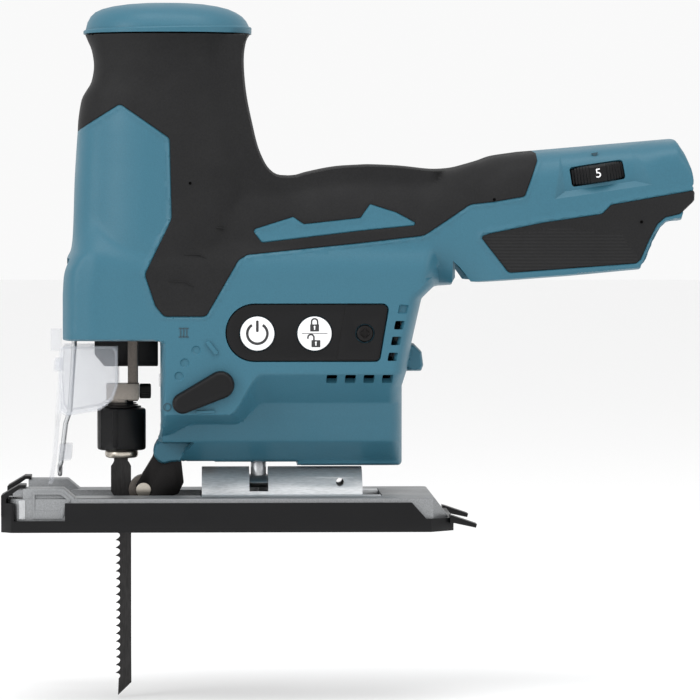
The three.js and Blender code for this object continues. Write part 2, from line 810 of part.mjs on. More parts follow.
function blade() {
  const half = bladeThickness / 2;
  const firstTooth = 0.4;
  const lastTooth = bladeTipZ + 3;
  const count = Math.floor((firstTooth - lastTooth) / toothPitch);
  const teeth = [];
  for (let i = 0; i < count; i++) {
    const z = firstTooth - i * toothPitch;
    teeth.push([-41.8, z], [-41.7, z - 1.9], [-43.6, z - toothPitch + 0.1]);
  }
  const points = [
    [-38.6, 48.3],
    [-44, 48.3],
    [-44, 24.5],
    [-45.2, 22.8],
    [-45.2, 12.6],
    [-41.8, 10.5],
    ...teeth,
    [-42.6, bladeTipZ],
    [bladeBackX, bladeTipZ + 5],
    [bladeBackX, 22.8],
    [-38.6, 24.3],
  ];
  piece("blade", "darkSteel", sideSlab(points, -half, half));
}

function roller() {
  const grooveHalf = 1.1;
  const grooveRadius = rollerRadius - 1.6;
  const bore = nosePinRadius + 0.1;
  const wheel = [
    [bore, -rollerHalfWidth],
    [rollerRadius, -rollerHalfWidth],
    [rollerRadius, -grooveHalf],
    [grooveRadius, -grooveHalf],
    [grooveRadius, grooveHalf],
    [rollerRadius, grooveHalf],
    [rollerRadius, rollerHalfWidth],
    [bore, rollerHalfWidth],
    [bore, -rollerHalfWidth],
  ];
  piece("guide_roller", "steel", turnY(wheel, rollerX, rollerZ, 28));
  const armOutline = [
    [rollerX - 3, rollerZ + 2],
    [rollerX - 1, rollerZ - 4],
    [rollerX + 4, rollerZ - 4.6],
    [-19, 12.8],
    [-17, 17],
    [-18, 26],
    [-12, 36],
    [-15, 39],
    [-22, 34.5],
    [-28, 32],
    [-29, 27],
  ];
  const arm = sideSlab(armOutline, -armHalfWidth, armHalfWidth);
  const forkHalf = rollerHalfWidth + gap;
  const fork = box(rollerX - 10, rollerX + rollerRadius + 1, -forkHalf, forkHalf, 5, rollerZ + 7.5);
  const pinRoom = turnY(drum(nosePinRadius + 0.05 + gap, -10, 10), rollerX, rollerZ, 16);
  const pivotRoom = turnY(drum(nosePinRadius + 0.1, -10, 10), armPivotX, armPivotZ, 20);
  piece("roller_holder", "black", cut(arm, fork, pinRoom, pivotRoom));
  const pin = [[0, -6.5], [2.9, -6.5], [2.9, -6], [nosePinRadius, -6], [nosePinRadius, 6.4], [0, 6.4]];
  piece("roller_pin", "steel", turnY(pin, rollerX, rollerZ, 16));
  piece("arm_pivot_pin", "steel", turnY(drum(nosePinRadius, -6.2, 6.2), armPivotX, armPivotZ, 20));
}

// ---- guards in front of the blade ----
function guards() {
  const wireRadius = 0.9;
  const wireY = 4.4;
  const sidePath = [[-59.3, 78], [-59.3, 70.5], [-61, 44.5], [-62.6, 40], [-64.5, 24.5]];
  const down = sidePath.map(([x, z]) => new THREE.Vector3(x, -wireY, z));
  const up = [...sidePath].reverse().map(([x, z]) => new THREE.Vector3(x, wireY, z));
  const foot = [-0.7, 0, 0.7].map((turn) =>
    new THREE.Vector3(-64.9, wireY * Math.sin(turn), 24.5 - wireY * Math.cos(turn)));
  const wirePath = new THREE.CatmullRomCurve3([...down, ...foot, ...up], false, "centripetal");
  const section = outline(arc(0, 0, wireRadius, 0, 300, 5));
  const bend = { steps: 26, bevelEnabled: false, extrudePath: wirePath };
  const wire = new THREE.ExtrudeGeometry(section, bend);
  piece("wire_guard", "steel", solidOf(wire));
  const bracket = box(-60.8, -54, -8, 8, 76.2, 84);
  const wireRooms = [-1, 1].map((sign) => turnZ(drum(wireRadius + gap, 60, 79), -59.3, sign * wireY, 12));
  piece("guard_bracket", "black", cut(bracket, ...wireRooms));

  const thick = 1.6;
  const outer = [[-69.3, 16.6], [-67.7, 26.6], [-66.4, 42.3], [-65, 58.2], [-64.6, 70.3]];
  const inner = [...outer].reverse().map(([x, z]) => [x + thick, z]);
  const wingY = 18;
  const tongue = 6.5;
  const wide = [
    [-tongue, 10],
    [tongue, 10],
    [tongue, 39],
    [wingY, 44],
    [wingY, 75],
    [-wingY, 75],
    [-wingY, 44],
    [-tongue, 39],
  ];
  const strip = sideSlab([...outer.map(([x, z]) => [x, z]), ...inner].reverse(), -wingY, wingY)
    .intersect(frontSlab(wide, -80, -50));
  const wingOutline = [
    [-64.9, 45],
    [-62, 43.4],
    [-49, 45.5],
    [-44, 49.5],
    [-42.1, 55],
    [-42.1, 70.3],
    [-64.2, 70.3],
    [-65, 58.2],
  ];
  const wings = [-1, 1].map((sign) => {
    const a = sign * wingY;
    const b = sign * (wingY - 1.5);
    return sideSlab(wingOutline, Math.min(a, b), Math.max(a, b));
  });
  const knob = box(-68.4, -64.2, -5, 5, 68, 76.5);
  piece("chip_cover", "clear", unite(strip, ...wings, knob));

  const skirt = [[-27, 61.4], [-27, 84], [-51.8, 84], [-51.8, 66], [-48, 61.4]].reverse();
  piece("inner_guard", "black", sideSlab(skirt, 13, 15.6));
}

// ---- tilting base ----
function base() {
  const half = baseLength / 2;
  const inside = baseHalfWidth - coverWall - gap;
  const slotHalf = archRadius + gap;
  const plateRearX = 78;
  const plate = planSlab(
    [
      [-half + coverWall + gap, -inside + 4],
      [-half + coverWall + 4, -inside],
      [plateRearX, -inside],
      [half - coverWall - gap, -inside + 9],
      [half - coverWall - gap, inside - 9],
      [plateRearX, inside],
      [-half + coverWall + 4, inside],
      [-half + coverWall + gap, inside - 4],
    ],
    coverFloor + gap,
    baseTopZ,
  );
  const opening = box(-half - 5, archRearX + gap, -slotHalf, slotHalf, -5, 30);
  const pockets = [-1, 1].flatMap((sign) =>
    [[-76, -38], [-34, 4], [8, 50]].map(([x0, x1]) => {
      const a = sign * (slotHalf + 3);
      const b = sign * (inside - 3);
      return box(x0, x1, Math.min(a, b), Math.max(a, b), -5, baseTopZ - 4);
    }));
  const slopeOutline = [
    [plateRearX, baseTopZ + 1],
    [half, 3],
    [half + 5, 3],
    [half + 5, 20],
    [plateRearX, 20],
  ];
  const tailSlope = sideSlab(slopeOutline, -50, 50);
  const blocks = [-1, 1].map((sign) => {
    const a = sign * 23;
    const b = sign * 35.6;
    const profile = [
      [-78, baseTopZ - 1],
      [-57.6, baseTopZ - 1],
      [-58, baseTopZ],
      [-62.6, 16.7],
      [-78, 16.7],
    ];
    return sideSlab(profile, Math.min(a, b), Math.max(a, b));
  });
  const footHalfWidth = archRadius + 6;
  const footRearX = archRearX + 7;
  const footThickness = 2.1;
  const footSeat = box(
    archFrontX - gap,
    footRearX + gap,
    -footHalfWidth - gap,
    footHalfWidth + gap,
    baseTopZ - footThickness - gap,
    baseTopZ + 1,
  );
  piece("base_plate", "castAluminium", cut(unite(plate, ...blocks), opening, ...pockets, footSeat, tailSlope));

  const cover = planSlab(
    [
      [-half, -baseHalfWidth + 4],
      [-half + 4, -baseHalfWidth],
      [half - 9, -baseHalfWidth],
      [half, -baseHalfWidth + 9],
      [half, baseHalfWidth - 9],
      [half - 9, baseHalfWidth],
      [-half + 4, baseHalfWidth],
      [-half, baseHalfWidth - 4],
    ],
    0,
    coverTopZ,
  );
  const room = planSlab(
    [
      [-half + coverWall, -inside - gap + 4],
      [-half + coverWall + 4, -inside - gap],
      [plateRearX, -inside - gap],
      [half - coverWall, -inside - gap + 8.6],
      [half - coverWall, inside + gap - 8.6],
      [plateRearX, inside + gap],
      [-half + coverWall + 4, inside + gap],
      [-half + coverWall, inside + gap - 4],
    ],
    coverFloor,
    40,
  );
  const rearOutline = [
    [70, coverTopZ + 1],
    [70, coverTopZ],
    [75.5, 5],
    [half + 5, 5],
    [half + 5, 20],
  ];
  const rearSlope = sideSlab(rearOutline, -50, 50);
  const slot = box(-half - 5, -22, -bladeSlotHalfWidth, bladeSlotHalfWidth, -5, 20);
  const frontMouth = box(-half - 5, -half + 6, -slotHalf, slotHalf, coverFloor, 20);
  const sideWindow = box(-82, -62, -50, 50, 4.4, 20);
  const hooks = [-1, 1].map((sign) => {
    const a = sign * 22;
    const b = sign * (baseHalfWidth - 3);
    const profile = [
      [-half, 6],
      [-half + 2, 6],
      [-half + 2, 13],
      [-79, 16.8],
      [-77, 16.8],
      [-77, 18],
      [-79.6, 18],
      [-half, 14],
    ];
    return sideSlab(profile, Math.min(a, b), Math.max(a, b));
  });
  const keptFront = box(-half - 1, -half + 5, -50, 50, 0, 20);
  const shaped = cut(cover, room, rearSlope, cut(sideWindow, keptFront), slot, frontMouth);
  const tabs = [-1, 1].map((sign) => {
    const a = sign * 25;
    const b = sign * 33;
    const profile = [
      [half - 1.5, 6],
      [half - 1.5, 3],
      [half, 3],
      [half + 8.4, 1.2],
      [half + 8.8, 2.6],
      [half, 5.6],
    ];
    return sideSlab(profile, Math.min(a, b), Math.max(a, b));
  });
  piece("cover_plate", "black", unite(shaped, ...cutAll(hooks, baseHooksRoom(half)), ...tabs));

  const ringOuter = arc(0, bevelAxisZ, archRadius, 0, 180, 24);
  const ringInner = arc(0, bevelAxisZ, archRadius - archWall, 180, 0, 24);
  const vault = frontSlab([...ringOuter, ...ringInner], archFrontX, archRearX);
  const feet = [-1, 1].map((sign) => {
    const a = sign * (archRadius - 3);
    const b = sign * footHalfWidth;
    return box(archFrontX, footRearX, Math.min(a, b), Math.max(a, b), baseTopZ - footThickness, baseTopZ);
  });
  const boltHalf = clampBoltRadius + 0.6;
  const boltSlot = frontSlab(
    [
      ...arc(0, bevelAxisZ, archRadius + 4, 29, 151, 12),
      [0, bevelAxisZ],
    ],
    clampBoltX - boltHalf,
    clampBoltX + boltHalf,
  );
  const sideHoles = turnY(drum(1.5, -40, 40), 43.3, 17.5, 12);
  const vaultLine = arc(0, bevelAxisZ, archRadius - archWall, 0, 180, 24);
  const insideVault = frontSlab(vaultLine, archFrontX - 1, archRearX + 10);
  piece("bevel_arch", "steel", cut(unite(vault, ...feet), insideVault, boltSlot, sideHoles));

  const inner = archRadius - archWall - 0.4;
  const clampPlate = frontSlab(
    [...arc(0, bevelAxisZ, inner, 52, 128, 10), ...arc(0, bevelAxisZ, inner - 2.5, 128, 52, 10)],
    clampBoltX - 12,
    clampBoltX + 12,
  );
  const boltRoom = turnZ(drum(clampBoltRadius + gap, 0, 60), clampBoltX, 0, 16);
  piece("clamp_plate", "steel", cut(clampPlate, boltRoom));
  const headTop = bevelAxisZ + inner - 2.5 - 0.9;
  const bolt = unite(
    turnZ(drum(4.6, headTop - 4, headTop), clampBoltX, 0, 6),
    turnZ(drum(clampBoltRadius, headTop - 1, 40), clampBoltX, 0, 16),
  );
  piece("clamp_bolt", "steel", bolt);
}

function cutAll(solids, tool) {
  return solids.map((solid) => cut(solid, tool));
}

// Room around the cast plate's front edge, so that the hooks pass over it.
function baseHooksRoom(half) {
  return box(-half + coverWall, -60, -50, 50, coverFloor, baseTopZ + 0.4);
}

// ---- battery end: electronics and terminals ----
function electronics() {
  const floorZ = bayRoofZ + wall + 1;
  const moduleFrontX = bayFrontX + 2;
  const module = box(moduleFrontX, moduleFrontX + 32, -20, 20, floorZ, floorZ + 13);
  piece("controller_module", "black", module);
  const blockFrontX = bayFrontX + 14;
  const block = box(blockFrontX, blockFrontX + 28, -17, 17, bayRoofZ - 6, bayRoofZ - gap);
  const blades = [-12, -4, 4, 12].map((y) =>
    box(blockFrontX + 4, blockFrontX + 22, y - 0.4, y + 0.4, bayRoofZ - 10, bayRoofZ - 5));
  piece("terminal_block", "black", unite(block, ...blades));
  piece("lamp_lens", "clear", box(bodyFrontX - 0.6, bodyFrontX + 1.2, -5, 5, 54, 59));
}

clamshells();
topCap();
housingScrews();
controls();
drive();
plunger();
blade();
roller();
guards();
base();
electronics();

export default jigsaw;
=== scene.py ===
# A cordless jigsaw with an upright barrel grip, shown without its battery.
# Metres, +Z up, the blade end at -X and the control panel towards -Y, as the frame has it.

import math
import bmesh
import bpy
import numpy as np
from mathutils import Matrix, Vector
from mathutils.geometry import delaunay_2d_cdt


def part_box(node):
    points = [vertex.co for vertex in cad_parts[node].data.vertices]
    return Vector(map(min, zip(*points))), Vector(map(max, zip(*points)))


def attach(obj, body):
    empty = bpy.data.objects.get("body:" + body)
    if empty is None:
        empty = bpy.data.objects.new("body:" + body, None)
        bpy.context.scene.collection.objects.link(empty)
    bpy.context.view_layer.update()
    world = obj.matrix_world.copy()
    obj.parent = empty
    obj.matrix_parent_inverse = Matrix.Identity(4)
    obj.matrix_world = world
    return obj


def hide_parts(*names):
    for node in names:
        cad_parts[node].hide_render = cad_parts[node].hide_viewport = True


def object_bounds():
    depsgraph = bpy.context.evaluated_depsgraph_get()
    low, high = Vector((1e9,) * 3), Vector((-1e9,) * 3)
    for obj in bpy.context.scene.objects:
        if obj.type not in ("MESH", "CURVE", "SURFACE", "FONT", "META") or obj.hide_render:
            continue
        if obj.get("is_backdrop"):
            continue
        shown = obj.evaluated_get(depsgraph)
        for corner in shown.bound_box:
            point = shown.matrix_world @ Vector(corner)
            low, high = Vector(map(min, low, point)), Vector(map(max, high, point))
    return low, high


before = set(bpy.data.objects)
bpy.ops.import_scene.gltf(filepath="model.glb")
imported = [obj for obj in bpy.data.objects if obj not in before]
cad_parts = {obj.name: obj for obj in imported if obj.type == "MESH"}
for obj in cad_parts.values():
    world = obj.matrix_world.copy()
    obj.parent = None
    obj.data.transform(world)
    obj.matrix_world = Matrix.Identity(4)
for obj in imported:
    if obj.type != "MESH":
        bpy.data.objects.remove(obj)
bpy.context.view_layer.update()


# ---- Stage and light ----
# The jigsaw is held upright over a wide pale floor in a bright room, with soft boxes on both
# sides and above, as a maker's catalogue shows it.
stage_paint = bpy.data.materials.new("stage_paint")
stage_paint.use_nodes = True
stage_shader = stage_paint.node_tree.nodes["Principled BSDF"]
stage_shader.inputs["Base Color"].default_value = (0.95, 0.95, 0.95, 1)
stage_shader.inputs["Roughness"].default_value = 0.9

table_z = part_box("blade")[0].z - 0.0008
floor_radius, floor_sides = 9.0, 64
floor_turns = [2 * math.pi * k / floor_sides for k in range(floor_sides)]
floor_mesh = bpy.data.meshes.new("floor")
floor_mesh.from_pydata(
    [(floor_radius * math.cos(a), floor_radius * math.sin(a), table_z) for a in floor_turns],
    [],
    [tuple(range(floor_sides))],
)
floor = bpy.data.objects.new("floor", floor_mesh)
bpy.context.collection.objects.link(floor)
floor_mesh.materials.append(stage_paint)
floor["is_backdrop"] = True

sky = bpy.data.worlds.new("studio")
bpy.context.scene.world = sky
sky.use_nodes = True
sky.node_tree.nodes["Background"].inputs["Color"].default_value = (1, 1, 1, 1)
sky.node_tree.nodes["Background"].inputs["Strength"].default_value = 0.95


def soft_box(name, place, aim, width, height, power):
    lamp = bpy.data.lights.new(name, "AREA")
    lamp.shape = "RECTANGLE"
    lamp.size, lamp.size_y, lamp.energy = width, height, power
    box = bpy.data.objects.new(name, lamp)
    bpy.context.collection.objects.link(box)
    box.location = place
    box.rotation_euler = (Vector(aim) - Vector(place)).to_track_quat("-Z", "Y").to_euler()


middle = Vector((0.05, 0, 0.08))
soft_box("left_soft_box", (-0.95, -0.75, 0.55), middle, 0.5, 0.9, 6)
soft_box("right_soft_box", (1.05, -0.7, 0.6), middle, 0.5, 0.9, 3)
soft_box("top_soft_box", (0.05, -0.35, 1.1), middle, 1.0, 0.6, 6)
soft_box("front_fill", (0.0, -1.5, 0.25), middle, 1.0, 0.8, 0.5)

camera = bpy.data.cameras.new("camera")
camera.sensor_width = 36
camera.lens = 235.6
camera.clip_end = 20
eye = bpy.data.objects.new("camera", camera)
bpy.context.collection.objects.link(eye)
eye.location = (-0.0106, -1.777, 0.1275)
eye_aim = Vector((0.0476, 0, 0.0681))
eye.rotation_euler = (eye_aim - eye.location).to_track_quat("-Z", "Y").to_euler()
bpy.context.scene.camera = eye
bpy.context.scene.view_settings.view_transform = "Standard"


# ---- Clamshell housing ----
# Two half shells of glass-filled nylon, moulded with the barrel, the gear head, the motor body and the
# battery end in one piece each, and screwed together along the middle of the tool.
# The skin of a half is a sheet over the side view: each point (x, z) of it stands out to y = width(x, z).
MM = 0.001


def spline(points, step=1.2):
    """A smooth line through the points, sampled about every step."""
    p = np.array(points, float)
    p = np.vstack([2 * p[0] - p[1], p, 2 * p[-1] - p[-2]])
    out = []
    for a, b, c, d in zip(p[:-3], p[1:-2], p[2:-1], p[3:]):
        n = max(2, int(np.linalg.norm(c - b) / step))
        for t in np.arange(n) / n:
            out.append(0.5 * (2 * b + (c - a) * t + (2 * a - 5 * b + 4 * c - d) * t**2
                              + (3 * b - a - 3 * c + d) * t**3))
    out.append(p[-2])
    return [tuple(q) for q in out]


def filleted(corners, closed=True):
    """A line of straight stretches whose corners (x, z, r) are rounded to radius r."""
    out = []
    n = len(corners)
    for i, (x, z, r) in enumerate(corners):
        here = np.array((x, z), float)
        if r <= 0 or (not closed and i in (0, n - 1)):
            out.append((x, z))
            continue
        before = np.array(corners[i - 1][:2], float) - here
        after = np.array(corners[(i + 1) % n][:2], float) - here
        lb, la = np.linalg.norm(before), np.linalg.norm(after)
        before, after = before / lb, after / la
        half = math.acos(max(-1, min(1, float(before @ after)))) / 2
        if half > 1.55:
            out.append((x, z))
            continue
        back = min(r / math.tan(half), 0.49 * lb, 0.49 * la)
        radius = back * math.tan(half)
        centre = here + (before + after) / np.linalg.norm(before + after) * (radius / math.sin(half))
        start, end = here + before * back, here + after * back
        a0 = math.atan2(*(start - centre)[::-1])
        a1 = math.atan2(*(end - centre)[::-1])
        sweep_angle = (a1 - a0 + math.pi) % (2 * math.pi) - math.pi
        steps = max(2, int(abs(sweep_angle) * 4))
        for k in range(steps + 1):
            a = a0 + sweep_angle * k / steps
            out.append((centre[0] + radius * math.cos(a), centre[1] + radius * math.sin(a)))
    return out


def arc(cx, cz, r, start, end, steps=12):
    angles = np.radians(np.linspace(start, end, steps + 1))
    return [(cx + r * math.cos(a), cz + r * math.sin(a)) for a in angles]


def dense(line, step, closed=True):
    """The same line with points at most step apart."""
    p = np.array(line, float)
    q = np.vstack([p, p[:1]]) if closed else p
    out = []
    for a, b in zip(q[:-1], q[1:]):
        n = max(1, math.ceil(np.linalg.norm(b - a) / step))
        out += [a + (b - a) * k / n for k in range(n)]
    if not closed:
        out.append(q[-1])
    return np.array(out)


def distance(points, line, closed=True):
    """The distance of each point from a line."""
    p = np.array(line, float)
    q = np.vstack([p, p[:1]]) if closed else p
    best = np.full(len(points), 1e9)
    for a, b in zip(q[:-1], q[1:]):
        ab = b - a
        t = np.clip(((points - a) @ ab) / max(ab @ ab, 1e-12), 0, 1)
        best = np.minimum(best, np.hypot(*(points - a - t[:, None] * ab).T))
    return best


def inside(points, line):
    """Which points lie inside a closed line."""
    p = np.array(line, float)
    x, z = points[:, 0], points[:, 1]
    hit = np.zeros(len(points), bool)
    for (ax, az), (bx, bz) in zip(p, np.roll(p, -1, axis=0)):
        if az == bz:
            continue
        crosses = (az > z) != (bz > z)
        hit ^= crosses & (x < (bx - ax) * (z - az) / (bz - az) + ax)
    return hit


def ease(t):
    t = np.clip(t, 0, 1)
    return t * t * (3 - 2 * t)


barrel_top = 190.2
barrel_front = [(-54.9, 190.2), (-53.6, 187.2), (-52.3, 184), (-51.5, 178), (-52.5, 172), (-54.5, 168.5),
                (-56.3, 165), (-57.5, 158), (-57.9, 152), (-59, 135), (-60, 110.5), (-62, 104), (-64, 98),
                (-64.6, 90)]
barrel_rear = [(23.6, 135.9), (19, 136.4), (15.5, 139.3), (12.8, 144.5), (11.3, 149), (10, 154.5), (7.8, 165),
               (6.7, 174), (6.5, 182), (7.4, 187.8), (8.7, 190.2)]
handle_top = [(112, 145), (102, 143.5), (97, 141.8), (91.9, 140.3), (86.8, 139), (81.7, 138.5),
              (76.6, 138.6), (66.4, 139.7), (56, 140.2), (51, 140.1), (41, 139.4), (30.8, 137.4),
              (26.7, 136.2), (23.6, 135.9)]
nose_x, nose_z, nose_r = -23.7, 29.4, 5.4
under_body = filleted([(-64.6, 90, 0), (-64.6, 72, 1.6), (-28, 72, 0.3), (-26, 69.7, 0.6), (-26, 37.5, 1.5),
                       (-28.2, 32.4, 0)], closed=False)
under_body += arc(nose_x, nose_z, nose_r, 150, 262, 14)
under_body += filleted([(-21.5, 24.8, 0.6), (26.6, 24.8, 0.3), (27, 23.4, 0.3), (67.7, 23.4, 1.6),
                        (67.7, 54.5, 1), (69.3, 60, 0.3), (75.1, 60, 0.8), (76, 62.3, 1),
                        (75.3, 67.6, 1), (72.4, 70.6, 0.8),
                        (71.3, 71, 0.3), (75.2, 88.3, 2), (80, 93, 4), (110, 95.3, 9), (130, 96.8, 9),
                        (157.8, 99.4, 1.4), (163, 112.5, 3), (166.6, 117, 1.5),
                        (170, 118.1, 1), (173.6, 118.3, 0.5), (174.6, 121.8, 0.3), (179, 126, 0.8),
                        (179.2, 129.2, 0.6), (178.4, 131, 0.3), (178.7, 134, 2), (177.8, 138.6, 4),
                        (175.2, 145, 3), (171.9, 150.1, 1.2), (117, 145.4, 1.2), (112, 145, 0)],
                       closed=False)
outline = under_body + spline(handle_top)[1:-1] + spline(barrel_rear)[:-1]
outline += [(8.7, barrel_top), (-54.9, barrel_top)] + spline(barrel_front)[1:-1]

# the rubber's edge on the side of the barrel and handle, and the other lines of the side view
rubber_edge = filleted([(-70, 152.8, 0), (-57.5, 152.8, 2), (-41, 163, 2), (-22, 149.8, 2.5), (-21.3, 119, 6),
                        (-31.5, 98, 3), (-27.5, 86, 3), (-24.2, 82, 2.5), (-8.3, 82, 2.5), (4, 103.4, 3),
                        (7.4, 105.5, 2), (50, 109.9, 5), (75, 112.8, 6), (85, 119.5, 4), (92.5, 124.7, 5),
                        (101, 125.6, 5),
                        (113, 127.7, 1.5), (118, 141.4, 1.5), (116, 200, 0), (-70, 200, 0)])
stripe_edge = filleted([(9.2, 115, 1.2), (13, 110, 1.2), (51, 114.6, 1.5), (73.4, 116.8, 0.8),
                        (64.5, 121.6, 0.8), (54.3, 124.9, 0.8), (50.6, 119.6, 1.2), (29, 117.2, 1),
                        (25, 120, 0.8)])
pad_edge = filleted([(96.3, 112.4, 1), (107, 98.6, 2), (155.5, 102.2, 1), (157.2, 103.6, 1), (160, 110, 2),
                     (163.5, 117, 2), (166.5, 119.7, 1.5), (172, 121, 2), (181, 127.5, 0), (181, 130.6, 0),
                     (150, 125.2, 2), (146, 124.5, 1), (142.5, 121, 2), (120, 117.7, 2), (100, 113.6, 1)])
panel_edge = arc(10.2, 75.8, 11.2, 92, 268, 30)
panel_edge += filleted([(11, 64.6, 0), (58, 64.6, 2.2), (61.8, 87, 2.4), (11, 87, 0)], closed=False)
dial_edge = filleted([(130, 138.8, 1.2), (131.2, 131.2, 1.2), (151.7, 134.4, 1.2), (150.4, 141.9, 1.2)])
bed_a, bed_b, bed_c, bed_d = (126.9, 142.8), (128.5, 129.6), (155, 133.6), (153.7, 146)
bed_e, bed_f, bed_g = (124.3, 126.6), (161.7, 132.2), (160, 137)
dial_bed = [bed_a, bed_e, bed_f, bed_g, bed_d]
dial_facets = [((bed_a, 0.2), (bed_b, 2), (bed_c, 2)), ((bed_a, 0.2), (bed_c, 2), (bed_d, 0.2)),
               ((bed_a, 0), (bed_e, 0), (bed_b, 2)), ((bed_e, 0), (bed_f, 0), (bed_b, 2)),
               ((bed_b, 2), (bed_f, 0), (bed_c, 2)), ((bed_c, 2), (bed_f, 0), (bed_g, 0)),
               ((bed_c, 2), (bed_g, 0), (bed_d, 0.2))]
rib_field = [(95, 90), (152, 90), (157, 103), (150, 113.5), (126, 115.5), (97, 112.5)]
nose_edge = filleted([(-30, 22, 0), (-19, 22, 0.5), (-17, 28.5, 3), (-12.4, 33.3, 0.5), (-30, 33.3, 0)])
vents = [[(64.5, 83), (68.2, 83), (69, 86.5), (65.3, 86.5)],
         [(63.2, 77), (66.8, 77), (67.5, 80.3), (63.9, 80.3)],
         [(62, 71), (65.6, 71), (66.3, 74.3), (62.7, 74.3)],
         [(60.7, 65), (64.3, 65), (65, 68.2), (61.4, 68.2)]]
vents += [[(x, 56.4), (x + 4.1, 56.4), (x + 4.4, 59.7), (x + 0.3, 59.7)] for x in (37.4, 44.5, 51.6, 58.7)]
vents = [filleted([(x, z, 0.5) for x, z in vent]) for vent in vents]
dot_middles = ((-12.1, 69.1), (-16.4, 64.3), (-18.6, 59.2))
setting_dots = [arc(mx, mz, 1.85, 0, 360, 20)[:-1] for mx, mz in dot_middles]
screw_holes = [((h0 + h1) / 2 / MM).xz for h0, h1 in (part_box(f"housing_screw_{i}") for i in range(1, 8))]
screw_holes = [(v.x, v.y) for v in screw_holes]

body_half, tail_half, handle_half = 33.4, 35.8, 30.2


def line_at(line, index, value):
    """The other coordinate of a line at given places along it."""
    p = np.array(sorted(line, key=lambda q: q[index]))
    return np.interp(value, p[:, index], p[:, 1 - index])


def oval(v, power):
    return np.maximum(0, 1 - np.abs(np.clip(v, -1, 1)) ** power) ** (1 / power)


front_line = spline(barrel_front)
rear_line = spline(barrel_rear[1:])
body_front = [(-64.6, 72.4), (-64.6, 90)] + front_line[::-1]
under_line = [(60, 84), (72, 86), (80, 93), (110, 95.3), (130, 96.8), (158, 99.8), (163, 112.5), (166.6, 117),
              (173.6, 118.5), (179.2, 127)]
over_line = spline(handle_top) + [(117, 145.4), (171.9, 150.1), (175.2, 145), (177.8, 138.6), (179.2, 129)]


def barrel_width(x, z):
    front = line_at(front_line, 1, np.clip(z, 90, barrel_top))
    rear = line_at(rear_line, 1, np.clip(z, 139.3, barrel_top))
    rear = np.where(z < 139.3, 15.5, rear)
    half = np.interp(z, [90, 112, 140, 153, 160, 166, 173, 182, 187, 190.2],
                     [31, 32.6, 32.4, 32, 31.4, 30.4, 29.4, 29, 30, 31.4])
    return half * oval((x - (front + rear) / 2) / ((rear - front) / 2), 2.3) * ease((z - 88) / 10)


def handle_width(x, z):
    top = line_at(over_line, 0, x)
    low = line_at(under_line, 0, np.maximum(x, 60))
    half = 28 + (handle_half - 28) * ease((x + 10) / 40) + (tail_half - handle_half) * ease((x - 78) / 40)
    share = ease((x - 76) / 42)
    rise = (2 * z - top - low) / (top - low)
    rise = np.where(rise < 0, rise * (1 - 0.9 * share), rise)
    width = half * oval(rise, 2.5 + 1.8 * share)
    return width * oval(np.clip((x - 176.6) / 2.7, 0, 1), 3) * ease((x + 12) / 10)


def crest_at(x):
    return 44.5 + 15.5 * ease((x - 0.5) / 12.5)


def waist_at(x):
    return 36.5 + 4.5 * ease((x + 25) / 13) + 7.5 * ease((x - 3) / 11)


def body_width(x, z):
    crest, waist = crest_at(x), waist_at(x)
    up_wall = np.clip((z - waist) / (crest - waist), 0, 1)
    half = np.where(z > crest, body_half, 20 + (body_half - 20) * up_wall)
    low = np.interp(z, [22, 25.3, 33.5, 48.5], [7.5, 7.5, 17, 20])
    half = np.where(z < waist, np.minimum(low, 20), half)
    half = half * (1 - 0.28 * ease((z - 99) / 22))
    in_head = x < -26
    half = np.where(in_head & (z < 72), 8.2, half)
    reach = np.where(z < 71.9, x + 26, x - line_at(body_front, 1, np.clip(z, 72.4, 190)))
    face = np.where(z < 71.9, 2.5, 12.5)
    reach = np.where((z < 40) & (x < -18), 2.5, reach)
    rear = np.interp(z, [22, 54.5, 60, 71, 88.3, 93, 112], [67.7, 67.7, 69.3, 71.3, 75.2, 80, 84]) - x
    width = half * oval(1 - np.clip(reach / face, 0, 1), 2.6) * oval(1 - np.clip(rear / 7, 0, 1), 2.4)
    return width


def sunk(points, line, depth, ramp=0.45):
    """How deep each point lies in a recess with this outline."""
    return np.where(inside(points, line), depth * np.clip(distance(points, line) / ramp, 0, 1), 0)


def facet_depth(points):
    """The depth of the flat-sided recess round the speed dial, facet by facet."""
    depth = np.zeros(len(points))
    for (a, da), (b, db), (c, dc) in dial_facets:
        (ax, az), (bx, bz), (cx, cz) = a, b, c
        area = (bx - ax) * (cz - az) - (cx - ax) * (bz - az)
        wb = ((points[:, 0] - ax) * (cz - az) - (cx - ax) * (points[:, 1] - az)) / area
        wc = ((bx - ax) * (points[:, 1] - az) - (points[:, 0] - ax) * (bz - az)) / area
        within = (wb >= -1e-6) & (wc >= -1e-6) & (wb + wc <= 1 + 1e-6)
        depth = np.where(within, np.maximum(depth, da * (1 - wb - wc) + db * wb + dc * wc), depth)
    return depth


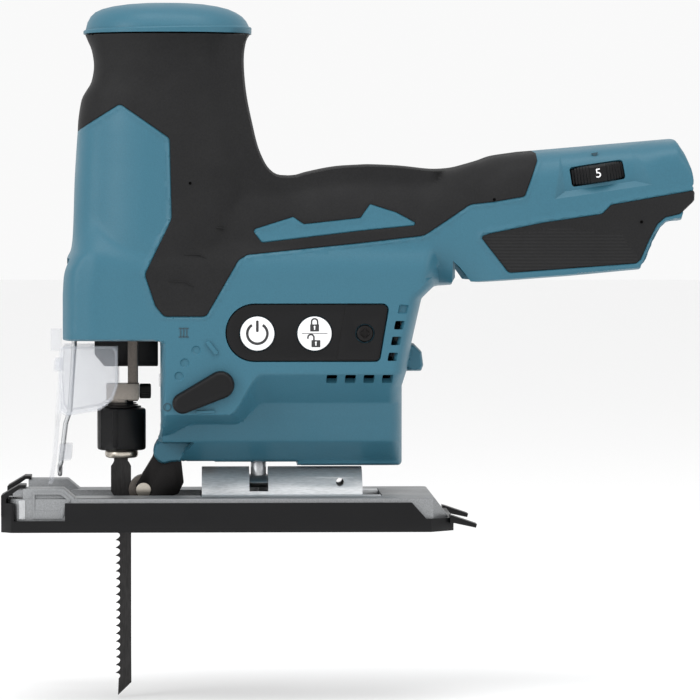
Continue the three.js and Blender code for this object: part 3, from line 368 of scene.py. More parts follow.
def feature_width(x, z, side, width):
    """The skin's small features: recesses, ribs and the joints between materials."""
    points = np.stack([x, z], 1)
    for line, teal_inside in ((rubber_edge, False), (stripe_edge, True), (pad_edge, False)):
        off = distance(points, line)
        on_teal = inside(points, line) == teal_inside
        width = width - 0.35 * (1 - np.clip(off / 0.42, 0, 1))
        raised = 0.28 * np.clip((1.75 - off) / 0.4, 0, 1) * np.clip(off / 0.42, 0, 1)
        width = width + np.where(on_teal, raised, 0)
    if side < 0:
        width = width - sunk(points, panel_edge, 2.6) - facet_depth(points)
        width = width - sunk(points, vents[0], 1.2)
        for dot in setting_dots:
            width = width - sunk(points, dot, 0.5, 0.4)
    rear_boss = (np.clip((x - 68.6) / 1.2, 0, 1) * np.clip((71.2 - z) / 0.8, 0, 1)
                 * np.clip((z - 59.4) / 0.8, 0, 1))
    width = np.where(rear_boss > 0, np.maximum(width, 9.5 * np.sqrt(rear_boss)), width)
    fine_line = (x > 12) & (x < 66.5) & (np.abs(z - 41) < 0.3)
    width = np.where(fine_line, width - 0.3, width)
    return width


def skin_width(points, side, edge_distance):
    """How far the outer skin stands from the middle of the tool, rounded over its creases."""
    x, z = points[:, 0], points[:, 1]
    total = np.zeros(len(points))
    spots = [(0, 0), (0.5, 0), (-0.5, 0), (0, 0.5), (0, -0.5)]
    for dx, dz in spots:
        keep = np.clip(edge_distance / 0.9, 0, 1)
        xs, zs = x + dx * keep, z + dz * keep
        parts = np.stack([barrel_width(xs, zs), handle_width(xs, zs), body_width(xs, zs)])
        top = parts.max(0)
        blended = top + np.log(np.exp((parts - top) / 1.1).sum(0)) * 1.1 * ease(top / 12) * 0.5
        total += blended
    width = total / len(spots)
    crease = np.interp(z, [72, 92, 108, 135, 165], [-52, -52, -49, -47.5, -47.5])
    facet = 33.6 - 0.12 * np.clip(-38 - x, 0, 9) - 0.3 * np.clip(crease - x, 0, 40)
    facet = facet - 1.9 * ease((z - 98) / 16)
    on_front = np.where((x < -20) & ~inside(points, rubber_edge) & (z > 71.9), 1, 0)
    on_front = on_front * np.clip(distance(points, rubber_edge) / 2.2, 0, 1)
    width = width - np.maximum(width - facet, 0) * on_front
    width = feature_width(x, z, side, width)
    width = width + (9.2 - width) * sunk(points, nose_edge, 1, 0.6)
    rounding = 1.3 - 0.8 * ease((z - 183) / 6)
    return width * oval(1 - np.clip(edge_distance / rounding, 0, 1), 2.2)


def half_sheet(side):
    """The points and faces of one half's skin, and the distance of each point from the outline."""
    rim = dense(outline, 1.5)
    tangent = np.roll(rim, -1, 0) - np.roll(rim, 1, 0)
    normal = np.stack([-tangent[:, 1], tangent[:, 0]], 1)
    normal /= np.linalg.norm(normal, axis=1)[:, None]
    lines = [(rubber_edge, True), (stripe_edge, True), (pad_edge, True)]
    if side < 0:
        lines += [(panel_edge, True), (dial_edge, True), (dial_bed, True)] + [(vent, True) for vent in vents]
        lines += [([bed_a, bed_b, bed_c, bed_d], False), ([bed_e, bed_b], False)]
        lines += [([bed_f, bed_c, bed_g], False)]
        lines += [(dot, True) for dot in setting_dots]
    else:
        lines += [(vent, True) for vent in vents]
        lines += [(arc(cx, cz, 4, 0, 360, 24)[:-1], True) for cx, cz in screw_holes]
    along = np.arange(-24.5, 66.6, 1.3)
    ridge, valley = np.stack([along, crest_at(along)], 1), np.stack([along, waist_at(along)], 1)
    lines += [(nose_edge, True), (ridge, False), (valley, False), ([(-11.5, 33.5), (66, 33.5)], False)]
    rows = [rim + normal * inwards for inwards in (0.05, 0.2, 0.45, 0.8, 1.2, 1.7, 2.4, 3.3, 4.5, 6)]
    for line, closed in lines:
        d = dense(line, 1.3, closed)
        t = np.gradient(d, axis=0)
        n = np.stack([-t[:, 1], t[:, 0]], 1) / np.maximum(np.linalg.norm(t, axis=1), 1e-9)[:, None]
        for off in (-1.75, -1.3, -0.9, -0.45, 0.45, 0.9, 1.3, 1.75):
            rows.append(d + n * off)
    gx, gz = np.meshgrid(np.arange(-66, 181, 1.7), np.arange(22, 192, 1.7))
    gx = gx + (np.arange(gx.shape[0]) % 2)[:, None] * 0.85
    grid = np.stack([gx.ravel(), gz.ravel()], 1)
    loose = np.vstack(rows + [grid[distance(grid, rim) > 6.8]])
    loose = loose[inside(loose, rim)]
    loose = loose[distance(loose, rim) > 0.03]
    keep = np.ones(len(loose), bool)
    for line, closed in lines:
        keep &= distance(loose, dense(line, 1.3, closed), closed) > 0.3
    loose = loose[keep]
    cells = {}
    kept = []
    for (px, pz), off in zip(loose, distance(loose, rim)):
        size = 0.14 if off < 1.6 else 0.35 if off < 6.5 else 0.8
        key = (int(px / size), int(pz / size), size)
        if key not in cells:
            cells[key] = True
            kept.append((px, pz))
    verts = [tuple(q) for q in rim]
    edges = [(i, (i + 1) % len(rim)) for i in range(len(rim))]
    for line, closed in lines:
        d = dense(line, 1.3, closed)
        d = [tuple(q) for q in d]
        start = len(verts)
        verts += d
        count = len(d)
        edges += [(start + i, start + (i + 1) % count) for i in range(count if closed else count - 1)]
    verts += kept
    out = delaunay_2d_cdt([Vector(v) for v in verts], edges, [], 0, 1e-4)
    points = np.array([tuple(v) for v in out[0]])
    faces = np.array(out[2])
    centres = points[faces].mean(1)
    faces = faces[inside(centres, rim)]
    return points, faces, distance(points, rim)


def mesh_object(name, verts, faces, smooth=True):
    mesh = bpy.data.meshes.new(name)
    mesh.from_pydata([tuple(float(c) * MM for c in v) for v in verts], [],
                     [tuple(int(i) for i in f) for f in faces])
    mesh.validate()
    obj = bpy.data.objects.new(name, mesh)
    bpy.context.collection.objects.link(obj)
    if smooth:
        mesh.shade_smooth()
    return obj


def apply_modifiers(obj):
    depsgraph = bpy.context.evaluated_depsgraph_get()
    mesh = bpy.data.meshes.new_from_object(obj.evaluated_get(depsgraph))
    obj.modifiers.clear()
    obj.data = mesh


def crisp(obj, degrees=32):
    """Smooth shading that breaks at edges sharper than the angle."""
    bm = bmesh.new()
    bm.from_mesh(obj.data)
    for edge in bm.edges:
        sharp = len(edge.link_faces) == 2 and edge.calc_face_angle(0) > math.radians(degrees)
        edge.smooth = not sharp
    for face in bm.faces:
        face.smooth = True
    bm.to_mesh(obj.data)
    bm.free()


def thicken(obj, thickness):
    shell = obj.modifiers.new("thickness", "SOLIDIFY")
    shell.thickness = thickness * MM
    shell.offset = -1
    apply_modifiers(obj)


def open_box(obj, low, high):
    """Cuts a clean-edged box-shaped opening in a skin."""
    bm = bmesh.new()
    bm.from_mesh(obj.data)
    for axis in range(3):
        for value in (low[axis], high[axis]):
            spot, normal = Vector((0, 0, 0)), Vector((0, 0, 0))
            spot[axis], normal[axis] = value * MM, 1
            near = [f for f in bm.faces if all(
                low[k] * MM - 0.004 < f.calc_center_median()[k] < high[k] * MM + 0.004 for k in range(3))]
            geom = near + list({e for f in near for e in f.edges}) + list({v for f in near for v in f.verts})
            if geom:
                bmesh.ops.bisect_plane(bm, geom=geom, plane_co=spot, plane_no=normal)
    gone = [f for f in bm.faces if all(
        low[k] * MM < f.calc_center_median()[k] < high[k] * MM for k in range(3))]
    bmesh.ops.delete(bm, geom=gone, context="FACES")
    bm.to_mesh(obj.data)
    bm.free()


def material(name, color, roughness, metallic=0.0):
    made = bpy.data.materials.new(name)
    made.use_nodes = True
    shader = made.node_tree.nodes["Principled BSDF"]
    shader.inputs["Base Color"].default_value = (*color, 1)
    shader.inputs["Roughness"].default_value = roughness
    shader.inputs["Metallic"].default_value = metallic
    return made


def dull(made, level):
    """Rubber and matt plastic throw back less of the room's light than gloss does."""
    made.node_tree.nodes["Principled BSDF"].inputs["Specular IOR Level"].default_value = level
    return made


def grain(made, scale, depth, low, high, tint=0.04, detail=6.0, stretch=(1, 1, 1)):
    """Fine surface grain: a bump, a play of roughness from low to high, and a faint play of colour."""
    nodes, links = made.node_tree.nodes, made.node_tree.links
    shader = nodes["Principled BSDF"]
    place = nodes.new("ShaderNodeTexCoord")
    turn = nodes.new("ShaderNodeMapping")
    turn.inputs["Scale"].default_value = stretch
    links.new(place.outputs["Object"], turn.inputs["Vector"])
    noise = nodes.new("ShaderNodeTexNoise")
    noise.inputs["Scale"].default_value = scale
    noise.inputs["Detail"].default_value = detail
    links.new(turn.outputs["Vector"], noise.inputs["Vector"])
    bump = nodes.new("ShaderNodeBump")
    bump.inputs["Strength"].default_value = 1.0
    bump.inputs["Distance"].default_value = depth
    links.new(noise.outputs["Fac"], bump.inputs["Height"])
    links.new(bump.outputs["Normal"], shader.inputs["Normal"])
    wide = nodes.new("ShaderNodeTexNoise")
    wide.inputs["Scale"].default_value = 55.0
    wide.inputs["Detail"].default_value = 3.0
    links.new(turn.outputs["Vector"], wide.inputs["Vector"])
    sheen = nodes.new("ShaderNodeMapRange")
    sheen.inputs["From Min"].default_value = 0.3
    sheen.inputs["From Max"].default_value = 0.7
    sheen.inputs["To Min"].default_value = low
    sheen.inputs["To Max"].default_value = high
    links.new(wide.outputs["Fac"], sheen.inputs["Value"])
    links.new(sheen.outputs["Result"], shader.inputs["Roughness"])
    base = shader.inputs["Base Color"].default_value[:3]
    ramp = nodes.new("ShaderNodeValToRGB")
    ramp.color_ramp.elements[0].position, ramp.color_ramp.elements[1].position = 0.35, 0.65
    ramp.color_ramp.elements[0].color = (*[c * (1 - tint) for c in base], 1)
    ramp.color_ramp.elements[1].color = (*[min(1, c * (1 + tint)) for c in base], 1)
    links.new(noise.outputs["Fac"], ramp.inputs["Fac"])
    links.new(ramp.outputs["Color"], shader.inputs["Base Color"])
    return made


teal = grain(dull(material("teal_nylon", (0.03, 0.116, 0.165), 0.45), 0.3), 1800, 0.00004, 0.38, 0.5)
rubber = grain(dull(material("grip_rubber", (0.0105, 0.0105, 0.011), 0.7), 0.18),
               1500, 0.00006, 0.6, 0.78, tint=0.12)
ribbed = grain(dull(material("ribbed_rubber", (0.0115, 0.0115, 0.012), 0.7), 0.18),
               1500, 0.00003, 0.58, 0.74, tint=0.12)
rib_nodes, rib_links = ribbed.node_tree.nodes, ribbed.node_tree.links
rib_place = rib_nodes.new("ShaderNodeTexCoord")
rib_wave = rib_nodes.new("ShaderNodeTexWave")
rib_wave.bands_direction = "Z"
rib_wave.inputs["Scale"].default_value = 250.0
rib_links.new(rib_place.outputs["Object"], rib_wave.inputs["Vector"])
rib_bump = rib_nodes.new("ShaderNodeBump")
rib_bump.inputs["Strength"].default_value = 0.7
rib_bump.inputs["Distance"].default_value = 0.00025
grain_bump = next(n for n in rib_nodes if n.bl_idname == "ShaderNodeBump" and n is not rib_bump)
rib_links.new(rib_wave.outputs["Fac"], rib_bump.inputs["Height"])
rib_links.new(grain_bump.outputs["Normal"], rib_bump.inputs["Normal"])
rib_links.new(rib_bump.outputs["Normal"], rib_nodes["Principled BSDF"].inputs["Normal"])


def skin_piece(name, sheet, side, chosen, lift=0.0, under_rubber=0.0):
    points, faces, rim_distance = sheet
    picked = faces[chosen]
    used = np.unique(picked)
    index = {int(v): i for i, v in enumerate(used)}
    clear_of_rim = np.clip(rim_distance[used] / 1.0, 0, 1)
    width = skin_width(points[used], side, rim_distance[used]) + lift * clear_of_rim
    on_rubber = (inside(points[used], rubber_edge) & ~inside(points[used], stripe_edge)
                 | inside(points[used], pad_edge))
    from_edge = np.minimum(distance(points[used], rubber_edge), distance(points[used], stripe_edge))
    from_edge = np.minimum(from_edge, distance(points[used], pad_edge))
    step = np.clip(from_edge / 0.3, 0, 1) * clear_of_rim
    width = width - under_rubber * np.where(on_rubber, step, 0)
    parting = 0.015
    verts = [(px, side * (w + parting), pz) for (px, pz), w in zip(points[used], width)]
    picked = [[index[int(v)] for v in (face if side < 0 else face[::-1])] for face in picked]
    obj = mesh_object(name, verts, picked)
    return obj


def region_masks(sheet, side):
    points, faces, _ = sheet
    centres = points[faces].mean(1)
    in_rubber = inside(centres, rubber_edge) & ~inside(centres, stripe_edge)
    in_pad = inside(centres, pad_edge)
    hole = np.zeros(len(faces), bool)
    for vent in vents[1:]:
        hole |= inside(centres, vent)
    if side < 0:
        hole |= inside(centres, dial_edge)
    else:
        for cx, cz in screw_holes:
            hole |= np.hypot(*(centres - (cx, cz)).T) < 3.95
    return in_rubber, in_pad, hole


for half_name, side in (("left", -1), ("right", 1)):
    sheet = half_sheet(side)
    in_rubber, in_pad, hole = region_masks(sheet, side)
    under_seam = (in_rubber | in_pad) & (sheet[2][sheet[1]].mean(1) < 1.3)
    shell = skin_piece("shell_" + half_name, sheet, side, ~hole & ~under_seam, under_rubber=0.7)
    open_box(shell, (-70, -20, 60), (-26, 20, 104))
    open_box(shell, (86, -29, 90), (190, 29, 108))
    open_box(shell, (-36, -6.6, 15), (-5, 6.6, 44.5))
    thicken(shell, 2.4)
    crisp(shell)
    shell.data.materials.append(teal)
    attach(shell, "housing")
    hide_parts("housing_" + half_name)

    grip = skin_piece("grip_skin_" + half_name, sheet, side, in_rubber & ~hole, lift=0.35)
    thicken(grip, 0.9)
    crisp(grip)
    grip.data.materials.append(rubber)
    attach(grip, "housing")
    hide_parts("grip_" + half_name)

    pad = skin_piece("pad_skin_" + half_name, sheet, side, in_pad & ~hole, lift=0.2)
    thicken(pad, 0.8)
    crisp(pad)
    pad.data.materials.append(rubber)
    pad.data.materials.append(ribbed)
    centres = np.array([(f.center.x / MM, f.center.z / MM) for f in pad.data.polygons])
    for face, on_ribs in zip(pad.data.polygons, inside(centres, rib_field)):
        face.material_index = int(on_ribs)
    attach(pad, "housing")
    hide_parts("battery_pad_" + half_name)


# ---- Shared ways of making the smaller pieces ----
# Moulded plates are flat outlines with a thickness and softened edges, turned pieces are profiles swept
# round an axis, and machined pieces take the shape that the frame has and get their edges broken.
def finish_piece(obj, body, paint, slot_name, *replaced):
    obj.data.materials.clear()
    obj.data.materials.append(paint)
    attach(obj, body)
    if replaced:
        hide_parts(*replaced)
    return obj


def soften(obj, width, segments=2, angle=35):
    edge = obj.modifiers.new("edge", "BEVEL")
    edge.width = width * MM
    edge.segments = segments
    edge.limit_method = "ANGLE"
    edge.angle_limit = math.radians(angle)
    edge.harden_normals = False
    apply_modifiers(obj)
    crisp(obj)
    return obj


def plate(name, outer, y_face, y_back, holes=(), soft=0.0):
    """A flat plate in the side view, between two depths, with holes."""
    loops = [outer, *holes]
    verts, edges = [], []
    for loop in loops:
        start = len(verts)
        verts += [Vector(q) for q in loop]
        edges += [(start + i, start + (i + 1) % len(loop)) for i in range(len(loop))]
    out = delaunay_2d_cdt(verts, edges, [], 0, 1e-5)
    points = np.array([tuple(v) for v in out[0]])
    faces = np.array(out[2])
    centres = points[faces].mean(1)
    keep = inside(centres, outer)
    for hole_line in holes:
        keep &= ~inside(centres, hole_line)
    faces = faces[keep]
    toward = -1 if y_face < y_back else 1
    count = len(points)
    bm = bmesh.new()
    front = [bm.verts.new((px * MM, y_face * MM, pz * MM)) for px, pz in points]
    back = [bm.verts.new((px * MM, y_back * MM, pz * MM)) for px, pz in points]
    sides = {}
    for face in faces:
        a, b, c = (int(i) for i in face)
        bm.faces.new([front[a], front[b], front[c]] if toward < 0 else [front[c], front[b], front[a]])
        bm.faces.new([back[c], back[b], back[a]] if toward < 0 else [back[a], back[b], back[c]])
        for i, j in ((a, b), (b, c), (c, a)):
            sides[(i, j)] = sides.get((i, j), 0) + 1
    for i, j in sides:
        if (j, i) not in sides:
            loop = [front[j], front[i], back[i], back[j]]
            bm.faces.new(loop if toward < 0 else loop[::-1])
    loose = [v for v in bm.verts if not v.link_faces]
    bmesh.ops.delete(bm, geom=loose, context="VERTS")
    bmesh.ops.dissolve_limit(bm, angle_limit=0.02, verts=bm.verts, edges=bm.edges)
    mesh = bpy.data.meshes.new(name)
    bm.to_mesh(mesh)
    bm.free()
    obj = bpy.data.objects.new(name, mesh)
    bpy.context.collection.objects.link(obj)
    if soft:
        soften(obj, soft)
    return obj


def turned(name, profile, place, axis=(0, 0, 1), segments=48, wave=None):
    """A profile of (radius, height) turned round an axis. wave(turn, ring) scales a ring's radius."""
    spin = Vector((0, 0, 1)).rotation_difference(Vector(axis)).to_matrix()
    verts, faces, rings = [], [], []
    for ring, (r, h) in enumerate(profile):
        if r <= 0:
            rings.append([len(verts)])
            verts.append(spin @ Vector((0, 0, h)) + Vector(place))
            continue
        start = len(verts)
        rings.append(list(range(start, start + segments)))
        for k in range(segments):
            turn = 2 * math.pi * k / segments
            rr = r * (wave(turn, ring) if wave else 1)
            verts.append(spin @ Vector((rr * math.cos(turn), rr * math.sin(turn), h)) + Vector(place))
    for low_ring, high_ring in zip(rings[:-1], rings[1:]):
        for k in range(segments):
            n = (k + 1) % segments
            if len(low_ring) == 1:
                faces.append((low_ring[0], high_ring[n], high_ring[k]))
            elif len(high_ring) == 1:
                faces.append((low_ring[k], low_ring[n], high_ring[0]))
            else:
                faces.append((low_ring[k], low_ring[n], high_ring[n], high_ring[k]))
    obj = mesh_object(name, verts, faces)
    crisp(obj)
    return obj


def refined(name, node, soft):
    """The frame's own shape of a piece, with its edges broken."""
    obj = bpy.data.objects.new(name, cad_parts[node].data.copy())
    bpy.context.collection.objects.link(obj)
    bm = bmesh.new()
    bm.from_mesh(obj.data)
    bmesh.ops.remove_doubles(bm, verts=bm.verts, dist=0.00002)
    bmesh.ops.dissolve_limit(bm, angle_limit=math.radians(1), verts=bm.verts, edges=bm.edges)
    bm.to_mesh(obj.data)
    bm.free()
    return soften(obj, soft)


def broken_edges(name, node, soft, body, paint, slot_name):
    """A piece in the frame's own shape, with its edges broken and its finish on."""
    return finish_piece(refined(name, node, soft), body, paint, slot_name, node)


def joined(name, pieces):
    """Several meshes made into one object, with their materials kept."""
    bm = bmesh.new()
    mesh = bpy.data.meshes.new(name)
    for piece in pieces:
        first = len(mesh.materials)
        for paint in piece.data.materials:
            mesh.materials.append(paint)
        before = len(bm.faces)
        bm.from_mesh(piece.data)
        bm.faces.ensure_lookup_table()
        for face in bm.faces[before:]:
            face.material_index += first
        bpy.data.objects.remove(piece)
    bm.to_mesh(mesh)
    bm.free()
    obj = bpy.data.objects.new(name, mesh)
    bpy.context.collection.objects.link(obj)
    return obj


def painted(obj, paint):
    obj.data.materials.clear()
    obj.data.materials.append(paint)
    return obj


black = grain(dull(material("black_plastic", (0.0045, 0.0045, 0.005), 0.42), 0.18),
              2200, 0.00002, 0.34, 0.5, tint=0.1)
white_print = grain(material("white_print", (0.78, 0.78, 0.79), 0.4), 3000, 0.000005, 0.36, 0.46, tint=0.015)
ink = grain(material("black_print", (0.016, 0.016, 0.017), 0.45), 3000, 0.000005, 0.4, 0.5, tint=0.05)
black_steel = grain(material("black_oxide", (0.014, 0.013, 0.013), 0.4, 0.85),
                    2600, 0.00001, 0.3, 0.5, tint=0.2)
sintered = grain(material("sintered_steel", (0.25, 0.225, 0.2), 0.45, 0.9),
                 2400, 0.00003, 0.36, 0.52, tint=0.14)
brown_steel = grain(material("phosphated_steel", (0.1, 0.088, 0.078), 0.42, 0.85),
                    2400, 0.00001, 0.32, 0.5, tint=0.15)
nickel = grain(material("nickel_plate", (0.5, 0.46, 0.4), 0.3, 1.0), 1500, 0.0000015, 0.24, 0.36, tint=0.05)
zinc = grain(material("zinc_plate", (0.5, 0.51, 0.52), 0.34, 1.0), 1800, 0.000004, 0.28, 0.44, tint=0.08)
drawn = grain(material("ground_steel", (0.62, 0.63, 0.64), 0.5, 0.8), 2600, 0.000008, 0.42, 0.58, tint=0.12,
              stretch=(0.15, 1, 1))
cast = grain(material("cast_aluminium", (0.25, 0.257, 0.264), 0.5, 0.8), 2300, 0.00003, 0.42, 0.6, tint=0.14)
copper = grain(material("copper_wire", (0.5, 0.24, 0.1), 0.35, 0.9), 900, 0.0002, 0.3, 0.45, tint=0.25,
               stretch=(0.1, 1, 1))
circuit = grain(material("potting_resin", (0.02, 0.03, 0.028), 0.4), 600, 0.00005, 0.3, 0.5, tint=0.2)


# ---- Cap of the barrel ----
# A dome of the same nylon that closes the top of the barrel, with a raised band round its foot and
# a fine step above the band. It is moulded in one piece and clipped down over the clamshells.
cap_low, cap_high = (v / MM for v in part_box("top_cap"))
cap_middle_x = (cap_low.x + cap_high.x) / 2
front_profile = [(1.0, 190.35), (1.002, 191.3), (0.992, 191.7), (0.978, 191.75), (0.972, 191.95),
                 (0.972, 192.2), (0.952, 194.8), (0.915, 197), (0.86, 198.7), (0.78, 199.9),
                 (0.66, 200.9), (0.5, 201.7), (0.33, 202.15), (0.17, 202.35), (0.05, 202.42), (0, 202.43)]
rear_profile = [(1.0, 190.35), (1.002, 192.6), (0.992, 193), (0.978, 193.05), (0.972, 193.2),
                (0.966, 193.6), (0.938, 195.4), (0.89, 197.1), (0.82, 198.6), (0.73, 199.9),
                (0.61, 200.9), (0.46, 201.7), (0.3, 202.15), (0.16, 202.35), (0.05, 202.42), (0, 202.43)]
cap_verts, cap_faces = [], []
cap_segments = 96
for (tf, zf), (tr, zr) in zip(front_profile, rear_profile):
    if tf == 0:
        cap_verts.append((cap_middle_x, 0, zf))
        continue
    for k in range(cap_segments):
        turn = 2 * math.pi * k / cap_segments
        to_rear = 0.5 + 0.5 * math.cos(turn)
        share = tf + (tr - tf) * to_rear
        c, s = math.cos(turn), math.sin(turn)
        reach = (abs(c) ** 2.35 + abs(s) ** 2.35) ** (-1 / 2.35)
        cap_verts.append((cap_middle_x + share * reach * c * (cap_high.x - cap_low.x) / 2,
                          share * reach * s * cap_high.y, zf + (zr - zf) * to_rear))
for ring in range(len(front_profile) - 2):
    for k in range(cap_segments):
        n = (k + 1) % cap_segments
        a = ring * cap_segments
        cap_faces.append((a + k, a + n, a + cap_segments + n, a + cap_segments + k))
last_ring = (len(front_profile) - 2) * cap_segments
crown = len(cap_verts) - 1
cap_faces += [(last_ring + k, last_ring + (k + 1) % cap_segments, crown) for k in range(cap_segments)]
cap_faces.append(tuple(range(cap_segments - 1, -1, -1)))
cap = mesh_object("barrel_cap", cap_verts, cap_faces)
crisp(cap, 28)
finish_piece(cap, "housing", teal, "teal_nylon", "top_cap")


# ---- Screws ----
# Seven pan-head screws with a six-lobed socket hold the clamshells together from the right side, and
# a black cross-headed one holds the switch panel. Cold-headed steel, zinc plated or blackened.
def screw_head(name, x, z, y_top, r, outward, paint, lobes=6, shank=6.0):
    def socket(turn, ring):
        if 2 <= ring <= 4:
            return 1 + 0.16 * math.cos(lobes * turn)
        return 1
    profile = [(0, -1.5), (r * 0.42, -1.5), (r * 0.5, -1.3), (r * 0.52, -0.1), (r * 0.55, 0),
               (r * 0.72, -0.05), (r * 0.92, -0.35), (r, -0.9), (r * 0.98, -1.7), (r * 0.9, -2),
               (r * 0.45, -2.1), (r * 0.45, -shank), (0, -shank)]
    return painted(turned(name, profile[::-1], (x, y_top, z), (0, outward, 0), 48,
                          lambda turn, ring: socket(turn, len(profile) - 1 - ring)), paint)


for i in range(1, 8):
    low, high = (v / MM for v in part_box(f"housing_screw_{i}"))
    head_x, head_z = (low.x + high.x) / 2, (low.z + high.z) / 2
    head = screw_head(f"clamshell_screw_{i}", head_x, head_z, high.y, 3.4, 1, zinc)
    finish_piece(head, "housing", zinc, "bright_steel", f"housing_screw_{i}")
low, high = (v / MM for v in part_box("panel_screw"))
head_x, head_z = (low.x + high.x) / 2, (low.z + high.z) / 2
head = screw_head("panel_fixing", head_x, head_z, low.y, 3.2, -1, black_steel, 4, 1.8)
finish_piece(head, "housing", black_steel, "black_steel", "panel_screw")


# ---- Switch panel ----
# A satin black plate with a round left end, clipped into the recess of the left shell. Two printed push
# buttons stand in it, the power switch and the lock, and a fine line parts them from the screw's end.
panel_low, panel_high = (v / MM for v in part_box("switch_panel"))
power_low, power_high = (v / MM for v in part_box("power_button"))
lock_low, lock_high = (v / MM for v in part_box("lock_button"))
power_x = (power_low.x + power_high.x) / 2
lock_x = (lock_low.x + lock_high.x) / 2
button_z = (power_low.z + power_high.z) / 2
panel_shape = arc(10.2, 75.8, 10.75, 92, 268, 30)
panel_shape += filleted([(11, 65.05, 0), (57.6, 65.05, 2), (61.2, 86.55, 2.2), (11, 86.55, 0)], closed=False)
panel_face = panel_low.y + 0.4
button_rooms = [arc(bx, button_z, 6.85, 0, 360, 64)[:-1] for bx in (power_x, lock_x)]
screw_room = arc(52.2, 75.5, 3.75, 0, 360, 40)[:-1]
panel = plate("switch_plate", panel_shape, panel_face, panel_high.y, [*button_rooms, screw_room], 0.35)
finish_piece(panel, "housing", black, "black_plastic", "switch_panel")
end_shape = filleted([(41.4, 65.6, 0.6), (57.1, 65.6, 1.6), (60.6, 86, 1.8), (44.9, 86, 1.2)])
end_plate = plate("panel_end", end_shape, panel_face - 0.3, panel_face + 0.2, [screw_room], 0.12)
finish_piece(end_plate, "housing", black, "black_plastic")


def button(name, bx, body, symbols, replaced):
    y_face = power_low.y - 0.1
    disc = turned(name + "_disc", [(0, -4.4), (6.0, -4.4), (6.5, -0.35), (6.42, -0.12), (6.25, 0), (0, 0)],
                  (bx, y_face, button_z), (0, -1, 0), 64)
    painted(disc, white_print)
    marks = [painted(plate(f"{name}_mark_{i}", outer, y_face - 0.06, y_face + 0.1, holes), ink)
             for i, (outer, holes) in enumerate(symbols)]
    made = joined(name, [disc, *marks])
    crisp(made)
    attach(made, body)
    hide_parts(replaced)


def ring_sector(cx, cz, r0, r1, start, end):
    return arc(cx, cz, r1, start, end, 24) + arc(cx, cz, r0, end, start, 24)


def bar(x0, x1, z0, z1, r=0.15):
    return filleted([(x0, z0, r), (x1, z0, r), (x1, z1, r), (x0, z1, r)])


def padlock(cx, cz, opened):
    """A padlock's outlines: its body with a keyhole, and its shackle."""
    keyhole = arc(cx, cz + 0.35, 0.38, -50, 230, 10) + [(cx - 0.25, cz - 0.9), (cx + 0.25, cz - 0.9)]
    body_line = bar(cx - 1.7, cx + 1.7, cz - 1.5, cz + 1.2, 0.2)
    sx = cx - 1.9 if opened else cx
    shackle = arc(sx, cz + 2.2, 1.45, 0, 180, 16) + arc(sx, cz + 2.2, 0.85, 180, 0, 16)
    legs = [bar(sx - 1.45, sx - 0.85, cz + (1.7 if opened else 1.1), cz + 2.25, 0.02),
            bar(sx + 0.85, sx + 1.45, cz + 1.1, cz + 2.25, 0.02)]
    return [(body_line, [keyhole]), (shackle, []), *[(leg, []) for leg in legs]]


button("power_switch", power_x, "power_button",
       [(ring_sector(power_x, button_z, 3.35, 4.35, 122, 418), []),
        (bar(power_x - 0.5, power_x + 0.5, button_z + 0.6, button_z + 5, 0.4), [])], "power_button")
button("lock_switch", lock_x, "lock_button",
       [(bar(lock_x - 4.9, lock_x + 4.9, button_z - 0.12, button_z + 0.12, 0.05), []),
        *padlock(lock_x, button_z + 2.3, False), *padlock(lock_x + 0.5, button_z - 3.7, True)], "lock_button")


# ---- Orbital-action lever ----
# A moulded black lever on the left side that turns on a pin through the housing and picks the roller's
# swing. Its broad end is round the pin, and its outer edge is rounded all the way.
lever_x, lever_z, tip_x, tip_z = -2.8, 56.0, -17.2, 49.0
lean = math.atan2(tip_z - lever_z, tip_x - lever_x)
spread = math.acos((5.3 - 4.0) / math.hypot(tip_x - lever_x, tip_z - lever_z))


def lever_line(grow):
    a = [(lever_x + (5.3 + grow) * math.cos(t), lever_z + (5.3 + grow) * math.sin(t))
         for t in np.linspace(lean + spread, lean + 2 * math.pi - spread, 40)]
    b = [(tip_x + (4.0 + grow) * math.cos(t), tip_z + (4.0 + grow) * math.sin(t))
         for t in np.linspace(lean - spread, lean + spread, 24)]
    return a + b


def stacked(name, rings):
    """A closed body through matching rings of (x, z) at given depths."""
    verts = [(x, y, z) for y, ring in rings for x, z in ring]
    n = len(rings[0][1])
    faces = []
    for r in range(len(rings) - 1):
        for k in range(n):
            m = (k + 1) % n
            faces.append((r * n + k, (r + 1) * n + k, (r + 1) * n + m, r * n + m))
    faces.append(tuple(range(n)))
    faces.append(tuple(range(len(verts) - 1, len(verts) - n - 1, -1)))
    obj = mesh_object(name, verts, faces)
    bm = bmesh.new()
    bm.from_mesh(obj.data)
    bmesh.ops.recalc_face_normals(bm, faces=bm.faces)
    bm.to_mesh(obj.data)
    bm.free()
    crisp(obj, 40)
    return obj


lever_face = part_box("orbital_lever")[0].y / MM
lever_rings = [(lever_face + 4.4, lever_line(-0.3)), (lever_face + 4.1, lever_line(0)),
               (lever_face + 1.6, lever_line(-0.1)), (lever_face + 0.8, lever_line(-0.45)),
               (lever_face + 0.3, lever_line(-1.0)), (lever_face + 0.05, lever_line(-1.7)),
               (lever_face, lever_line(-2.6))]
lever = joined("action_lever", [stacked("lever_grip", lever_rings),
                                turned("lever_pin", [(0, -20), (3.6, -20), (4, -19.6), (4, 0), (0, 0)],
                                       (lever_x, lever_face + 4.4, lever_z), (0, -1, 0), 32)])
crisp(lever, 40)
finish_piece(lever, "orbital_lever", black, "black_plastic", "orbital_lever")


